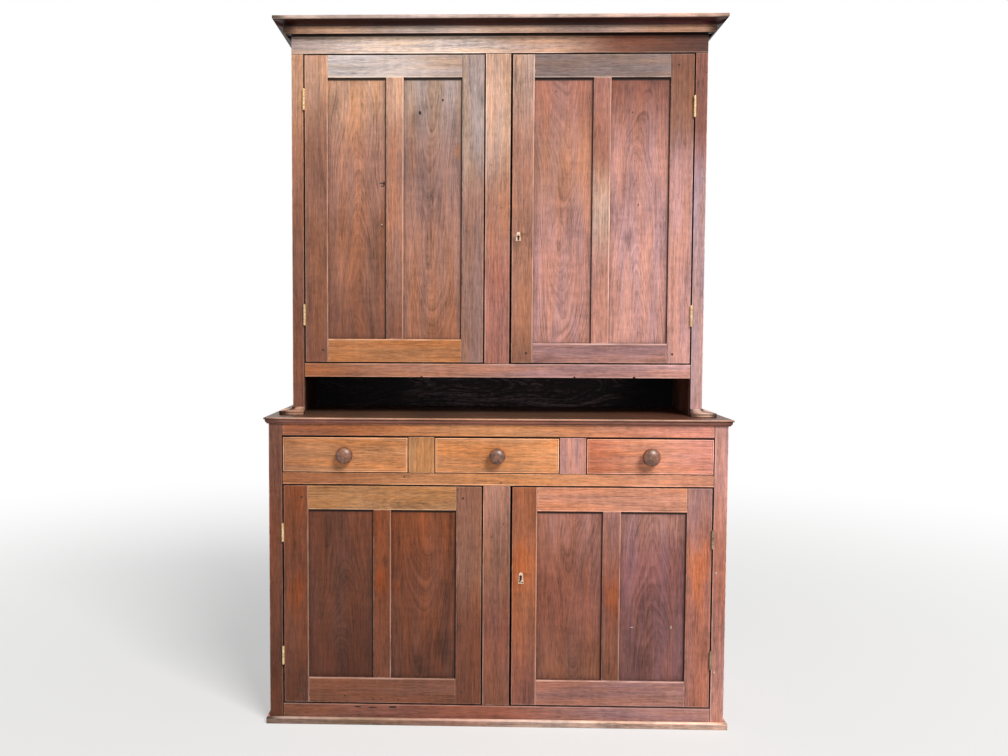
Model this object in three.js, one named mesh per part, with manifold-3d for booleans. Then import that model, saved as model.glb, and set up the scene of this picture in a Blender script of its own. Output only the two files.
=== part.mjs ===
// Step back cupboard in two cases: a base with three drawers over two doors, and a shallower upper
// case with two doors, standing over an open gap. Millimetres, +Z up, front towards -Y.
import * as THREE from "three";
import { mergeVertices } from "three/addons/utils/BufferGeometryUtils.js";
import Module from "manifold-3d";

const wasm = await Module();
wasm.setup();

// Overall sizes
const baseWidth = 1370;
const baseDepth = 445;
const stepBack = 110;
const sideStep = 53;
const sideThickness = 22;
const faceThickness = 22;
const backThickness = 13;
const boardThickness = 19;
const seam = 0.3;

// Heights of the base's members, from the floor up
const baseBottomRailHeight = 62;
const lowerOpeningHeight = 670;
const baseMiddleRailHeight = 36.5;
const drawerOpeningHeight = 109;
const baseTopRailHeight = 37.5;
const ledgeThickness = 19;

// Heights of the upper case's members, from the ledge up
const gapHeight = 116;
const upperBottomRailHeight = 43;
const upperOpeningHeight = 942;
const friezeHeight = 91;
const capThickness = 11;

// Widths of the face members
const baseStileWidth = 41;
const baseMullionWidth = 83;
const drawerDividerWidth = 80;
const middleDrawerOpening = 372;
const upperStileWidth = 37;
const upperMullionWidth = 78;

// Door members
const doorGap = 2.5;
const lockSideGap = 4.5;
const doorThickness = 22;
const panelThickness = 9;
const panelSetback = 7;
const grooveDepth = 9;
const panelPlay = 1.5;
const doorMembers = {
  upper_left: { hingeStile: 71, lockStile: 68, muntin: 53, topRail: 68, bottomRail: 72 },
  upper_right: { hingeStile: 71, lockStile: 66, muntin: 53, topRail: 69.5, bottomRail: 61 },
  lower_left: { hingeStile: 75, lockStile: 77, muntin: 53, topRail: 73, bottomRail: 78 },
  lower_right: { hingeStile: 75, lockStile: 75, muntin: 53, topRail: 73, bottomRail: 78 },
};

// Drawer members
const drawerGap = 1.8;
const drawerFrontThickness = 20;
const drawerSideThickness = 12;
const drawerSideDrop = 9;
const drawerBottomThickness = 8;
const drawerBottomRise = 7;
const drawerBackRoom = 14;
const guideHeight = 34;
const guidePlay = 0.5;

// Inner boards
const baseShelfHeight = 356;
const upperShelfRise = 496;
const shelfSetback = 46;

// Knobs
const knobDiameters = { left: 51, middle: 49, right: 54 };
const knobReach = 38;
const knobNeckRadius = 11;
const knobFootRadius = 15;
const knobFootHeight = 4;
const knobWaistReach = 13;
const knobRimReach = 22;
const footEdgeShare = 0.6;
const flareShare = 0.2;
const knobSides = 28;
const domeSteps = 6;

// Butt hinges
const hingeSizes = { upper: 63, lower: 55 };
const hingeTopDrops = { upper_left: 134, upper_right: 158, lower_left: 143, lower_right: 153 };
const hingeBottomRise = 146;
const barrelRadius = 4;
const barrelGroove = 0.4;
const barrelTip = 1.6;
const knuckleCount = 5;
const barrelSides = 12;
const leafThickness = 1.8;
const leafLet = 1.2;
const leafDepth = 17;
const leafFit = 0.3;

// Locks
const upperLock = { inset: 20.5, z: 1483, crownRise: 14, skirtDrop: 13 };
const lowerLock = { inset: 28, z: 458.5, crownRise: 12.5, skirtDrop: 21.5 };
const lockCaseHeight = 50;
const lockCaseThickness = 13;
const lockCaseBeyondKey = 20;
const lockCaseBelowKey = 20;
const plateThickness = 1;
const plateHeadRadius = 6;
const plateWaistHalf = 5.6;
const plateFootHalf = 8;
const keyHoleRadius = 3.4;
const keySlotHalf = 1.7;
const keySlotDrop = 9.6;
const keySleeveWall = 2;
const keyDepth = 7;
const boltHeight = 14;
const boltThickness = 6;
const boltLength = 34;
const boltAboveKey = 8;
const boltFit = 0.5;
const boltRoom = 3;

// Mouldings: how far each point stands out from the case, and its place below the moulding's top
const cornice = {
  reach: 46,
  lip: 2,
  coveReach: 27,
  coveDrop: 13,
  bandReach: 19,
  bandBelly: 1.5,
  footReach: 14.5,
  footDrop: 34,
  height: 36,
};
const capReach = 49;
const capRound = 2;
const ledgeEdge = {
  reach: 13,
  round: 2.2,
  noseDrop: 6,
  quirkReach: 9.5,
  quirkDrop: 8,
  footReach: 4.5,
  footDrop: 17.5,
};
const baseMoulding = { reach: 10, height: 21, shoulder: 4, shoulderReach: 6 };
const waist = { reach: 36, height: 22, lip: 2, lipReach: 3, filletHeight: 12 };
const arcSteps = 6;

// A run past a surface, for cutting tools
const overrun = 5;

// Places worked out from the sizes
const frontY = (knobReach + seam - baseDepth) / 2;
const backY = frontY + baseDepth;
const faceBackY = frontY + faceThickness;
const upperFrontY = frontY + stepBack;
const upperFaceBackY = upperFrontY + faceThickness;
const boardBackY = backY - backThickness;
const baseHalf = baseWidth / 2;
const upperHalf = baseHalf - sideStep;

const lowerSillZ = baseBottomRailHeight;
const lowerHeadZ = lowerSillZ + lowerOpeningHeight;
const drawerSillZ = lowerHeadZ + baseMiddleRailHeight;
const drawerHeadZ = drawerSillZ + drawerOpeningHeight;
const baseTopZ = drawerHeadZ + baseTopRailHeight;
const ledgeZ = baseTopZ + ledgeThickness;
const gapHeadZ = ledgeZ + gapHeight;
const upperSillZ = gapHeadZ + upperBottomRailHeight;
const upperHeadZ = upperSillZ + upperOpeningHeight;
const capBottomZ = upperHeadZ + friezeHeight;
const topZ = capBottomZ + capThickness;

const baseJambX = baseHalf - baseStileWidth;
const upperJambX = upperHalf - upperStileWidth;
const dividerInnerX = middleDrawerOpening / 2;
const dividerOuterX = dividerInnerX + drawerDividerWidth;

// Centres of each door's two hinges, top one first
const hingeHeights = (sillZ, headZ, drop) => [headZ - doorGap - drop, sillZ + doorGap + hingeBottomRise];
const hingeZs = {
  upper_left: hingeHeights(upperSillZ, upperHeadZ, hingeTopDrops.upper_left),
  upper_right: hingeHeights(upperSillZ, upperHeadZ, hingeTopDrops.upper_right),
  lower_left: hingeHeights(lowerSillZ, lowerHeadZ, hingeTopDrops.lower_left),
  lower_right: hingeHeights(lowerSillZ, lowerHeadZ, hingeTopDrops.lower_right),
};

// Wood and metal
const finish = (color, roughness, metalness = 0) => ({ color, roughness, metalness });
const walnut = finish(0x6b3a24, 0.45);
const darkWalnut = finish(0x54301f, 0.5);
const panelWalnut = finish(0x66371f, 0.45);
const secondaryWood = finish(0x8a6a48, 0.8);
const stainedBack = finish(0x1d1714, 0.7);
const knobWood = finish(0x3a1c14, 0.3);
const brass = finish(0xb08a46, 0.35, 1);
const iron = finish(0x4a4642, 0.6, 0.9);

const cupboard = new THREE.Group();

function place(name, geometry, surface) {
  const mesh = new THREE.Mesh(geometry, new THREE.MeshStandardMaterial(surface));
  mesh.name = name;
  cupboard.add(mesh);
  return mesh;
}

// A block between two corners, given as a low and a high value along each axis
function block([x0, x1], [y0, y1], [z0, z1]) {
  const geometry = new THREE.BoxGeometry(x1 - x0, y1 - y0, z1 - z0);
  return geometry.translate((x0 + x1) / 2, (y0 + y1) / 2, (z0 + z1) / 2);
}

function board(name, surface, xs, ys, zs) {
  return place(name, block(xs, ys, zs), surface);
}

// The stretch between two neighbours, less a seam at each end
const between = (low, high) => [low + seam, high - seam];

const wider = ([low, high], by) => [low - by, high + by];

const mirrored = ([low, high], side) => (side > 0 ? [low, high] : [-high, -low]);

// Solids for joining and cutting
function toSolid(geometry) {
  const bare = geometry.clone();
  bare.deleteAttribute("normal");
  bare.deleteAttribute("uv");
  const merged = mergeVertices(bare);
  return new wasm.Manifold(
    new wasm.Mesh({
      numProp: 3,
      vertProperties: merged.attributes.position.array,
      triVerts: new Uint32Array(merged.index.array),
    }),
  );
}

function toGeometry(solid) {
  const { vertProperties, triVerts } = solid.getMesh();
  const geometry = new THREE.BufferGeometry();
  geometry.setAttribute("position", new THREE.BufferAttribute(vertProperties, 3));
  geometry.setIndex(new THREE.BufferAttribute(triVerts, 1));
  const flat = geometry.toNonIndexed();
  flat.computeVertexNormals();
  return flat;
}

const joined = (geometries) => geometries.map(toSolid).reduce((whole, next) => whole.add(next));

function carved(wholes, cuts) {
  const solid = cuts.map(toSolid).reduce((rest, cut) => rest.subtract(cut), joined(wholes));
  return toGeometry(solid);
}

// An outline in X and Z, given depth between two Y values
function slab(shape, y0, y1) {
  const settings = { depth: y1 - y0, bevelEnabled: false, curveSegments: arcSteps };
  const geometry = new THREE.ExtrudeGeometry(shape, settings);
  return geometry.rotateX(Math.PI / 2).translate(0, y1, 0);
}

// A moulding is a run of stations on the plan. At each one the profile's reach goes out along
// the station's direction, so that a corner station mitres it.
function mouldingRun(profile, stations, topOfRun) {
  const points = [];
  for (const { x, y, outX, outY } of stations) {
    for (const { reach, drop } of profile) points.push(x + outX * reach, y + outY * reach, topOfRun - drop);
  }
  const count = profile.length;
  const faces = [];
  for (let s = 0; s + 1 < stations.length; s += 1) {
    for (let p = 0; p < count; p += 1) {
      const next = (p + 1) % count;
      const [a, b] = [s * count + p, s * count + next];
      const [c, d] = [a + count, b + count];
      faces.push(a, b, d, a, d, c);
    }
  }
  const outline = profile.map(({ reach, drop }) => new THREE.Vector2(reach, -drop));
  const last = (stations.length - 1) * count;
  for (const [i, j, k] of THREE.ShapeUtils.triangulateShape(outline, [])) {
    faces.push(i, j, k, last + i, last + k, last + j);
  }
  return outward(points, faces);
}

// A board whose front and side edges carry a profile: one ring of four corners for each point
function mouldedBoard(profile, half, y0, y1, topOfBoard) {
  const points = [];
  for (const { reach, drop } of profile) {
    const z = topOfBoard - drop;
    const [x, y] = [half + reach, y0 - reach];
    points.push(-x, y, z, x, y, z, x, y1, z, -x, y1, z);
  }
  const ring = 4;
  const faces = [0, 1, 2, 0, 2, 3];
  for (let p = 0; p + 1 < profile.length; p += 1) {
    for (let k = 0; k < ring; k += 1) {
      const next = (k + 1) % ring;
      const [a, b] = [p * ring + k, p * ring + next];
      const [c, d] = [a + ring, b + ring];
      faces.push(a, c, d, a, d, b);
    }
  }
  const foot = (profile.length - 1) * ring;
  faces.push(foot, foot + 2, foot + 1, foot, foot + 3, foot + 2);
  return outward(points, faces);
}

// Turns a closed mesh so that its faces point out
function outward(points, faces) {
  const at = (i) => new THREE.Vector3(...points.slice(3 * i, 3 * i + 3));
  let volume = 0;
  for (let f = 0; f < faces.length; f += 3) {
    volume += at(faces[f]).dot(at(faces[f + 1]).cross(at(faces[f + 2])));
  }
  const order = volume > 0 ? faces : faces.slice().reverse();
  const geometry = new THREE.BufferGeometry();
  geometry.setAttribute("position", new THREE.Float32BufferAttribute(points, 3));
  geometry.setIndex(order);
  const flat = geometry.toNonIndexed();
  flat.computeVertexNormals();
  return flat;
}

// Points along a quarter of an ellipse, from one turn to another about a centre
function arc(centreReach, centreDrop, radiusReach, radiusDrop, from, to) {
  return Array.from({ length: arcSteps + 1 }, (_, i) => {
    const turn = from + ((to - from) * i) / arcSteps;
    const [across, down] = [radiusReach * Math.cos(turn), radiusDrop * Math.sin(turn)];
    return { reach: centreReach + across, drop: centreDrop + down };
  });
}

const quarter = Math.PI / 2;

// Base case
function baseCase() {
  for (const [label, side] of [["left", -1], ["right", 1]]) {
    const sideXs = mirrored([baseHalf - sideThickness, baseHalf], side);
    board(`base_side_${label}`, walnut, sideXs, [faceBackY + seam, backY], [0, baseTopZ - seam]);
    const stile = block(mirrored([baseJambX, baseHalf], side), [frontY, faceBackY], [0, baseTopZ - seam]);
    const leaves = hingeZs[`lower_${label}`];
    const pockets = leaves.map((z) => jambPocket(side, baseJambX, frontY, z, hingeSizes.lower));
    place(`base_stile_${label}`, carved([stile], pockets), walnut);
    const dividerXs = mirrored([dividerInnerX, dividerOuterX], side);
    const dividerZs = between(drawerSillZ, drawerHeadZ);
    board(`drawer_divider_${label}`, walnut, dividerXs, [frontY, faceBackY], dividerZs);
  }
  const insideXs = between(sideThickness - baseHalf, baseHalf - sideThickness);
  const railXs = between(-baseJambX, baseJambX);
  const faceYs = [frontY, faceBackY];
  const insideYs = between(faceBackY, boardBackY);
  board("base_back", secondaryWood, insideXs, [boardBackY, backY], [0, baseTopZ - seam]);
  board("base_bottom_rail", walnut, railXs, faceYs, [0, lowerSillZ]);
  board("base_middle_rail", walnut, railXs, faceYs, [lowerHeadZ, drawerSillZ]);
  board("base_top_rail", walnut, railXs, faceYs, [drawerHeadZ, baseTopZ - seam]);
  const mullionXs = [-baseMullionWidth / 2, baseMullionWidth / 2];
  board("base_mullion", walnut, mullionXs, faceYs, between(lowerSillZ, lowerHeadZ));
  board("base_bottom", secondaryWood, insideXs, insideYs, [lowerSillZ - boardThickness, lowerSillZ]);
  const shelfYs = [faceBackY + shelfSetback, boardBackY - seam];
  board("base_shelf", secondaryWood, insideXs, shelfYs, [baseShelfHeight - boardThickness, baseShelfHeight]);
  place("drawer_deck", drawerDeck(insideXs, insideYs), secondaryWood);
}

// The deck carries the drawers, and its upright strips guide them
function drawerDeck(insideXs, insideYs) {
  const deck = block(insideXs, insideYs, [drawerSillZ - boardThickness, drawerSillZ]);
  const stripZs = [drawerSillZ - boardThickness / 2, drawerSillZ + guideHeight];
  const strips = [];
  const middleStrip = [dividerInnerX + guidePlay, dividerOuterX - guidePlay];
  const endStrip = [baseJambX + guidePlay, insideXs[1]];
  for (const side of [-1, 1]) {
    strips.push(block(mirrored(middleStrip, side), insideYs, stripZs));
    strips.push(block(mirrored(endStrip, side), insideYs, stripZs));
  }
  return toGeometry(joined([deck, ...strips]));
}

// A pocket in the jamb for the fixed leaf of a hinge
function jambPocket(side, jambX, faceY, z, length) {
  const xs = mirrored([jambX - overrun, jambX + leafLet + leafFit], side);
  return block(xs, ...leafPocket(faceY, z, length));
}

function ledgeAndMouldings() {
  const { reach, round, noseDrop, quirkReach, quirkDrop, footReach, footDrop } = ledgeEdge;
  const nose = arc(reach - round, round, round, round, -quarter, 0);
  const belly = arc(footReach, quirkDrop, quirkReach - footReach, footDrop - quirkDrop, 0, quarter);
  const edge = [
    ...nose,
    { reach, drop: noseDrop },
    { reach: quirkReach, drop: noseDrop },
    ...belly,
    { reach: footReach, drop: ledgeThickness },
  ];
  place("ledge_top", mouldedBoard(edge, baseHalf, frontY, backY, ledgeZ), walnut);

  const { shoulder, shoulderReach } = baseMoulding;
  const bodyReach = baseMoulding.reach;
  const skirt = [
    { reach: seam, drop: 0 },
    ...arc(shoulderReach, shoulder, bodyReach - shoulderReach, shoulder, -quarter, 0),
    { reach: bodyReach, drop: baseMoulding.height },
    { reach: seam, drop: baseMoulding.height },
  ];
  const run = threeSides(baseHalf, frontY, backY);
  place("base_moulding", mouldingRun(skirt, run, baseMoulding.height), darkWalnut);

  const { lip, lipReach, filletHeight } = waist;
  const coveDrop = waist.height - filletHeight - lip;
  const cove = [
    { reach: seam, drop: 0 },
    { reach: lipReach, drop: 0 },
    { reach: lipReach, drop: lip },
    ...arc(waist.reach, lip, waist.reach - lipReach, coveDrop, 2 * quarter, quarter).slice(1),
    { reach: waist.reach, drop: waist.height - seam },
    { reach: seam, drop: waist.height - seam },
  ];
  for (const [label, side] of [["left", -1], ["right", 1]]) {
    const returned = [
      { x: side * upperJambX, y: upperFrontY, outX: 0, outY: -1 },
      { x: side * upperHalf, y: upperFrontY, outX: side, outY: -1 },
      { x: side * upperHalf, y: backY, outX: side, outY: 0 },
    ];
    place(`waist_moulding_${label}`, mouldingRun(cove, returned, ledgeZ + waist.height), walnut);
  }
}

// Stations round a case's front and two sides
function threeSides(half, y0, y1) {
  return [
    { x: -half, y: y1, outX: -1, outY: 0 },
    { x: -half, y: y0, outX: -1, outY: -1 },
    { x: half, y: y0, outX: 1, outY: -1 },
    { x: half, y: y1, outX: 1, outY: 0 },
  ];
}

// Upper case
function upperCase() {
  const caseZs = between(ledgeZ, capBottomZ);
  for (const [label, side] of [["left", -1], ["right", 1]]) {
    const sideXs = mirrored([upperHalf - sideThickness, upperHalf], side);
    board(`upper_side_${label}`, walnut, sideXs, [upperFaceBackY + seam, backY], caseZs);
    const stileXs = mirrored([upperJambX, upperHalf], side);
    const stile = block(stileXs, [upperFrontY, upperFaceBackY], between(ledgeZ, upperHeadZ));
    const leaves = hingeZs[`upper_${label}`];
    const pockets = leaves.map((z) => jambPocket(side, upperJambX, upperFrontY, z, hingeSizes.upper));
    place(`upper_stile_${label}`, carved([stile], pockets), walnut);
  }
  const insideXs = between(sideThickness - upperHalf, upperHalf - sideThickness);
  const railXs = between(-upperJambX, upperJambX);
  const faceYs = [upperFrontY, upperFaceBackY];
  board("upper_back", stainedBack, insideXs, [boardBackY, backY], caseZs);
  board("frieze_rail", walnut, [-upperHalf, upperHalf], faceYs, [upperHeadZ, capBottomZ - seam]);
  board("upper_bottom_rail", walnut, railXs, faceYs, [gapHeadZ, upperSillZ]);
  const mullionXs = [-upperMullionWidth / 2, upperMullionWidth / 2];
  board("upper_mullion", walnut, mullionXs, faceYs, between(upperSillZ, upperHeadZ));
  const insideYs = between(upperFaceBackY, boardBackY);
  board("upper_bottom", secondaryWood, insideXs, insideYs, [upperSillZ - boardThickness, upperSillZ]);
  const shelfYs = [upperFaceBackY + shelfSetback, boardBackY - seam];
  const shelfZ = upperSillZ + upperShelfRise;
  board("upper_shelf", secondaryWood, insideXs, shelfYs, [shelfZ - boardThickness, shelfZ]);
}

function corniceAndCap() {
  const c = cornice;
  const band = arc(c.footReach, (c.coveDrop + c.footDrop) / 2, c.bandReach - c.footReach + c.bandBelly,
    (c.footDrop - c.coveDrop) / 2, -quarter / 2, quarter);
  const crown = [
    { reach: seam, drop: seam },
    { reach: c.reach, drop: seam },
    { reach: c.reach, drop: c.lip },
    ...arc(c.reach, c.coveDrop, c.coveReach, c.coveDrop - c.lip, 3 * quarter, 2 * quarter).slice(1),
    ...band.slice(1),
    { reach: c.footReach, drop: c.height },
    { reach: seam, drop: c.height },
  ];
  place("cornice", mouldingRun(crown, threeSides(upperHalf, upperFrontY, backY), capBottomZ), walnut);
  const edge = [
    ...arc(capReach - capRound, capRound, capRound, capRound, -quarter, 0),
    ...arc(capReach - capRound, capThickness - capRound, capRound, capRound, 0, quarter),
  ];
  place("cap_board", mouldedBoard(edge, upperHalf, upperFrontY, backY, topZ), darkWalnut);
}

// A framed door with two flat panels in grooves. The hinge side is at the jamb.
function door(label, side, opening, lock) {
  const { jambX, mullionHalf, sillZ, headZ, faceY, hingeLength } = opening;
  const members = doorMembers[label];
  const prefix = `${label}_door`;
  const hingeEdge = jambX - doorGap;
  const lockEdge = mullionHalf + (lock ? lockSideGap : doorGap);
  const [bottomZ, headOfDoorZ] = [sillZ + doorGap, headZ - doorGap];
  const throughYs = [faceY - overrun, faceY + doorThickness + overrun];
  const panelYs = [faceY + panelSetback, faceY + panelSetback + panelThickness];
  const panelZs = [bottomZ + members.bottomRail, headOfDoorZ - members.topRail];
  const innerLow = lockEdge + members.lockStile;
  const outerHigh = hingeEdge - members.hingeStile;
  const panelWidth = (outerHigh - innerLow - members.muntin) / 2;
  const cuts = [];
  for (const [spot, low] of [["inner", innerLow], ["outer", outerHigh - panelWidth]]) {
    const panelXs = mirrored([low, low + panelWidth], side);
    const tongue = grooveDepth - panelPlay;
    cuts.push(block(panelXs, throughYs, panelZs));
    cuts.push(block(wider(panelXs, grooveDepth), wider(panelYs, seam), wider(panelZs, grooveDepth)));
    board(`${prefix}_panel_${spot}`, panelWalnut, wider(panelXs, tongue), panelYs, wider(panelZs, tongue));
  }
  for (const z of hingeZs[label]) {
    const xs = mirrored([hingeEdge - leafLet - leafFit, hingeEdge + overrun], side);
    cuts.push(block(xs, ...leafPocket(faceY, z, hingeLength)));
  }
  if (lock) {
    const hole = keyway(side * (lockEdge + lock.inset), lock.z, keySleeveWall + seam);
    cuts.push(slab(hole, ...throughYs));
    doorLock(prefix, side * lockEdge, side, faceY, lock);
  }
  const doorYs = [faceY, faceY + doorThickness];
  const outer = block(mirrored([lockEdge, hingeEdge], side), doorYs, [bottomZ, headOfDoorZ]);
  place(`${prefix}_frame`, carved([outer], cuts), walnut);
  const [topHingeZ, bottomHingeZ] = hingeZs[label];
  hinge(`${prefix}_hinge_top`, side, jambX, faceY, topHingeZ, hingeLength);
  hinge(`${prefix}_hinge_bottom`, side, jambX, faceY, bottomHingeZ, hingeLength);
}

// Depth and height of the pocket that a hinge leaf lies in
function leafPocket(faceY, z, length) {
  return [[faceY - overrun, faceY + leafDepth + leafFit], wider([z - length / 2, z + length / 2], leafFit)];
}

// Butt hinge: the barrel with its pin, and the leaf let into the door's edge
function hinge(name, side, jambX, faceY, z, length) {
  const pinX = jambX - doorGap / 2;
  const pinY = faceY - barrelRadius - seam;
  const profile = [new THREE.Vector2(0, -length / 2 - barrelTip)];
  const pitch = length / knuckleCount;
  const neck = barrelRadius - barrelGroove;
  profile.push(new THREE.Vector2(neck / 2, -length / 2 - barrelTip));
  for (let k = 0; k < knuckleCount; k += 1) {
    const low = k * pitch - length / 2;
    profile.push(new THREE.Vector2(neck, low));
    profile.push(new THREE.Vector2(barrelRadius, low + barrelGroove));
    profile.push(new THREE.Vector2(barrelRadius, low + pitch - barrelGroove));
  }
  profile.push(new THREE.Vector2(neck, length / 2));
  profile.push(new THREE.Vector2(neck / 2, length / 2 + barrelTip));
  profile.push(new THREE.Vector2(0, length / 2 + barrelTip));
  const barrel = new THREE.LatheGeometry(profile, barrelSides).rotateX(quarter);
  barrel.translate(side * pinX, pinY, z);
  const leafXs = [pinX - doorGap / 2 - leafLet, pinX - doorGap / 2 - leafLet + leafThickness];
  const leafYs = [pinY, faceY + leafDepth];
  const leaf = block(mirrored(leafXs, side), leafYs, [z - length / 2, z + length / 2]);
  place(name, toGeometry(joined([barrel, leaf])), brass);
}

// A round head over a foot, with sides that run straight down from the waist
function keyOutline(x, headZ, radius, waistHalf, footHalf, footZ) {
  const swing = Math.acos(waistHalf / radius);
  const shape = new THREE.Shape();
  shape.moveTo(x - footHalf, footZ);
  shape.lineTo(x + footHalf, footZ);
  shape.absarc(x, headZ, radius, -swing, Math.PI + swing, false);
  shape.closePath();
  return shape;
}

// Outline of a keyhole, widened by a margin
function keyway(x, z, margin) {
  const half = keySlotHalf + margin;
  return keyOutline(x, z, keyHoleRadius + margin, half, half, z - keySlotDrop - margin);
}

// Brass plate with a keyhole on the front, its sleeve through the stile, and the case behind it
function doorLock(prefix, edgeX, side, faceY, { inset, z, crownRise, skirtDrop }) {
  const keyX = edgeX + side * inset;
  const headZ = z + crownRise - plateHeadRadius;
  const plate = keyOutline(keyX, headZ, plateHeadRadius, plateWaistHalf, plateFootHalf, z - skirtDrop);
  const plateBackY = faceY - seam;
  const plateFrontY = plateBackY - plateThickness;
  const caseFrontY = faceY + doorThickness + seam;
  const caseBackY = caseFrontY + lockCaseThickness;
  const lockEdge = Math.abs(edgeX);
  const caseXs = mirrored([lockEdge, lockEdge + inset + lockCaseBeyondKey], side);
  const caseZs = [z - lockCaseBelowKey, z - lockCaseBelowKey + lockCaseHeight];
  const wholes = [
    slab(plate, plateFrontY, plateBackY),
    slab(keyway(keyX, z, keySleeveWall), plateBackY - plateThickness / 2, caseFrontY + overrun),
    block(caseXs, [caseFrontY, caseBackY], caseZs),
  ];
  const boltYs = [caseFrontY + boltRoom, caseFrontY + boltRoom + boltThickness];
  const boltZs = [z + boltAboveKey, z + boltAboveKey + boltHeight];
  const cuts = [
    slab(keyway(keyX, z, 0), plateFrontY - overrun, caseFrontY + keyDepth),
    block(wider(caseXs, overrun), wider(boltYs, boltFit), wider(boltZs, boltFit)),
  ];
  place(`${prefix}_lock`, carved(wholes, cuts), brass);
  const boltXs = mirrored([lockEdge + seam, lockEdge + seam + boltLength], side);
  board(`${prefix}_bolt`, iron, boltXs, boltYs, boltZs);
}

function doors() {
  const upper = {
    jambX: upperJambX,
    mullionHalf: upperMullionWidth / 2,
    sillZ: upperSillZ,
    headZ: upperHeadZ,
    faceY: upperFrontY,
    hingeLength: hingeSizes.upper,
  };
  const lower = {
    jambX: baseJambX,
    mullionHalf: baseMullionWidth / 2,
    sillZ: lowerSillZ,
    headZ: lowerHeadZ,
    faceY: frontY,
    hingeLength: hingeSizes.lower,
  };
  door("upper_left", -1, upper);
  door("upper_right", 1, upper, upperLock);
  door("lower_left", -1, lower);
  door("lower_right", 1, lower, lowerLock);
}

// A drawer: the front, a dovetailed box behind it and the bottom, open at the top
function drawer(label, [openingLow, openingHigh], knobDiameter) {
  const [x0, x1] = [openingLow + drawerGap, openingHigh - drawerGap];
  const frontZs = [drawerSillZ + drawerGap, drawerHeadZ - drawerGap];
  const boxZs = [drawerSillZ + seam, drawerHeadZ - drawerSideDrop];
  const boxFrontY = frontY + drawerFrontThickness;
  const boxBackY = boardBackY - drawerBackRoom;
  const front = block([x0, x1], [frontY, boxFrontY], frontZs);
  const body = block([x0, x1], [boxFrontY - seam, boxBackY], boxZs);
  const insideXs = [x0 + drawerSideThickness, x1 - drawerSideThickness];
  const insideYs = [boxFrontY, boxBackY - drawerSideThickness];
  const floorZ = boxZs[0] + drawerBottomRise + drawerBottomThickness;
  const cavity = block(insideXs, insideYs, [floorZ, drawerHeadZ + overrun]);
  const reliefZs = [boxZs[0] - overrun, boxZs[0] + drawerBottomRise];
  const relief = block(insideXs, [boxFrontY, boxBackY + overrun], reliefZs);
  place(`drawer_${label}`, carved([front, body], [cavity, relief]), walnut);

  const middleX = (openingLow + openingHigh) / 2;
  knob(`knob_${label}`, middleX, (drawerSillZ + drawerHeadZ) / 2, knobDiameter / 2);
}

// A turned mushroom knob: a foot ring, a waisted neck and a domed cap
function knob(name, x, z, rim) {
  const swell = rim - knobNeckRadius;
  const footStep = knobFootRadius - knobNeckRadius;
  const profile = [
    [0, 0],
    [knobFootRadius, 0],
    [knobFootRadius, knobFootHeight * footEdgeShare],
    [knobNeckRadius + footStep * flareShare, knobFootHeight],
    [knobNeckRadius, (knobWaistReach + knobFootHeight) / 2],
    [knobNeckRadius + swell * flareShare, knobWaistReach],
    [rim - swell * flareShare, (knobWaistReach + knobRimReach) / 2],
  ];
  for (let i = 0; i < domeSteps; i += 1) {
    const turn = (quarter * i) / domeSteps;
    profile.push([rim * Math.cos(turn), knobRimReach + (knobReach - knobRimReach) * Math.sin(turn)]);
  }
  profile.push([0, knobReach]);
  const outline = profile.map(([radius, reach]) => new THREE.Vector2(radius, reach));
  const turned = new THREE.LatheGeometry(outline, knobSides).rotateZ(Math.PI);
  place(name, turned.translate(x, frontY - seam, z), knobWood);
}

function drawers() {
  drawer("left", [-baseJambX, -dividerOuterX], knobDiameters.left);
  drawer("middle", [-dividerInnerX, dividerInnerX], knobDiameters.middle);
  drawer("right", [dividerOuterX, baseJambX], knobDiameters.right);
}

baseCase();
ledgeAndMouldings();
upperCase();
corniceAndCap();
doors();
drawers();

export default cupboard;
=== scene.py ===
"""Looks of a two-part step back cupboard: old walnut boards, turned knobs, brass and iron."""
import math
import random

import bmesh
import bpy
from mathutils import Matrix, Vector, noise


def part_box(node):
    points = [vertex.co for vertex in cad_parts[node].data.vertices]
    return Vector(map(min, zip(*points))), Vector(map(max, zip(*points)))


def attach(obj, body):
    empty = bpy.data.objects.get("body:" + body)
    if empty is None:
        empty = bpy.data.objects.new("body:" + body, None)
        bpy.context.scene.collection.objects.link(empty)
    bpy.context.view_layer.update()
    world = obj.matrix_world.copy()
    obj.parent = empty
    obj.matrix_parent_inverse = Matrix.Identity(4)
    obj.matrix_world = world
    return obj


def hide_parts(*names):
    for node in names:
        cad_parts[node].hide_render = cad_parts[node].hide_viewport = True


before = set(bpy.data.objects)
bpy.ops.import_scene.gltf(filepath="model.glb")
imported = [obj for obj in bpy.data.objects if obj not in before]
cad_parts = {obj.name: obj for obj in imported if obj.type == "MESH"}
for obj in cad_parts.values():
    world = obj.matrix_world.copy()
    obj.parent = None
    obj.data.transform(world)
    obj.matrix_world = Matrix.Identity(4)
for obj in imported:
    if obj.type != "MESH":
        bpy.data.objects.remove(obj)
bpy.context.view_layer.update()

MM = 0.001
scene = bpy.context.scene

# Sizes that the frame doesn't hold: a panel's hold in its groove, the rounding of an arris, the
# space between two sections of a board, a peg's place and how far it stands out, the seam between
# two boards, and the easing of a metal edge
TONGUE = 7.5 * MM
ARRIS = 1.3 * MM
STATION = 55 * MM
PEG_INSET = 20 * MM
PROUD = 0.3 * MM
SEAM = 0.3 * MM
SOFT_EDGE = 0.3 * MM

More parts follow.
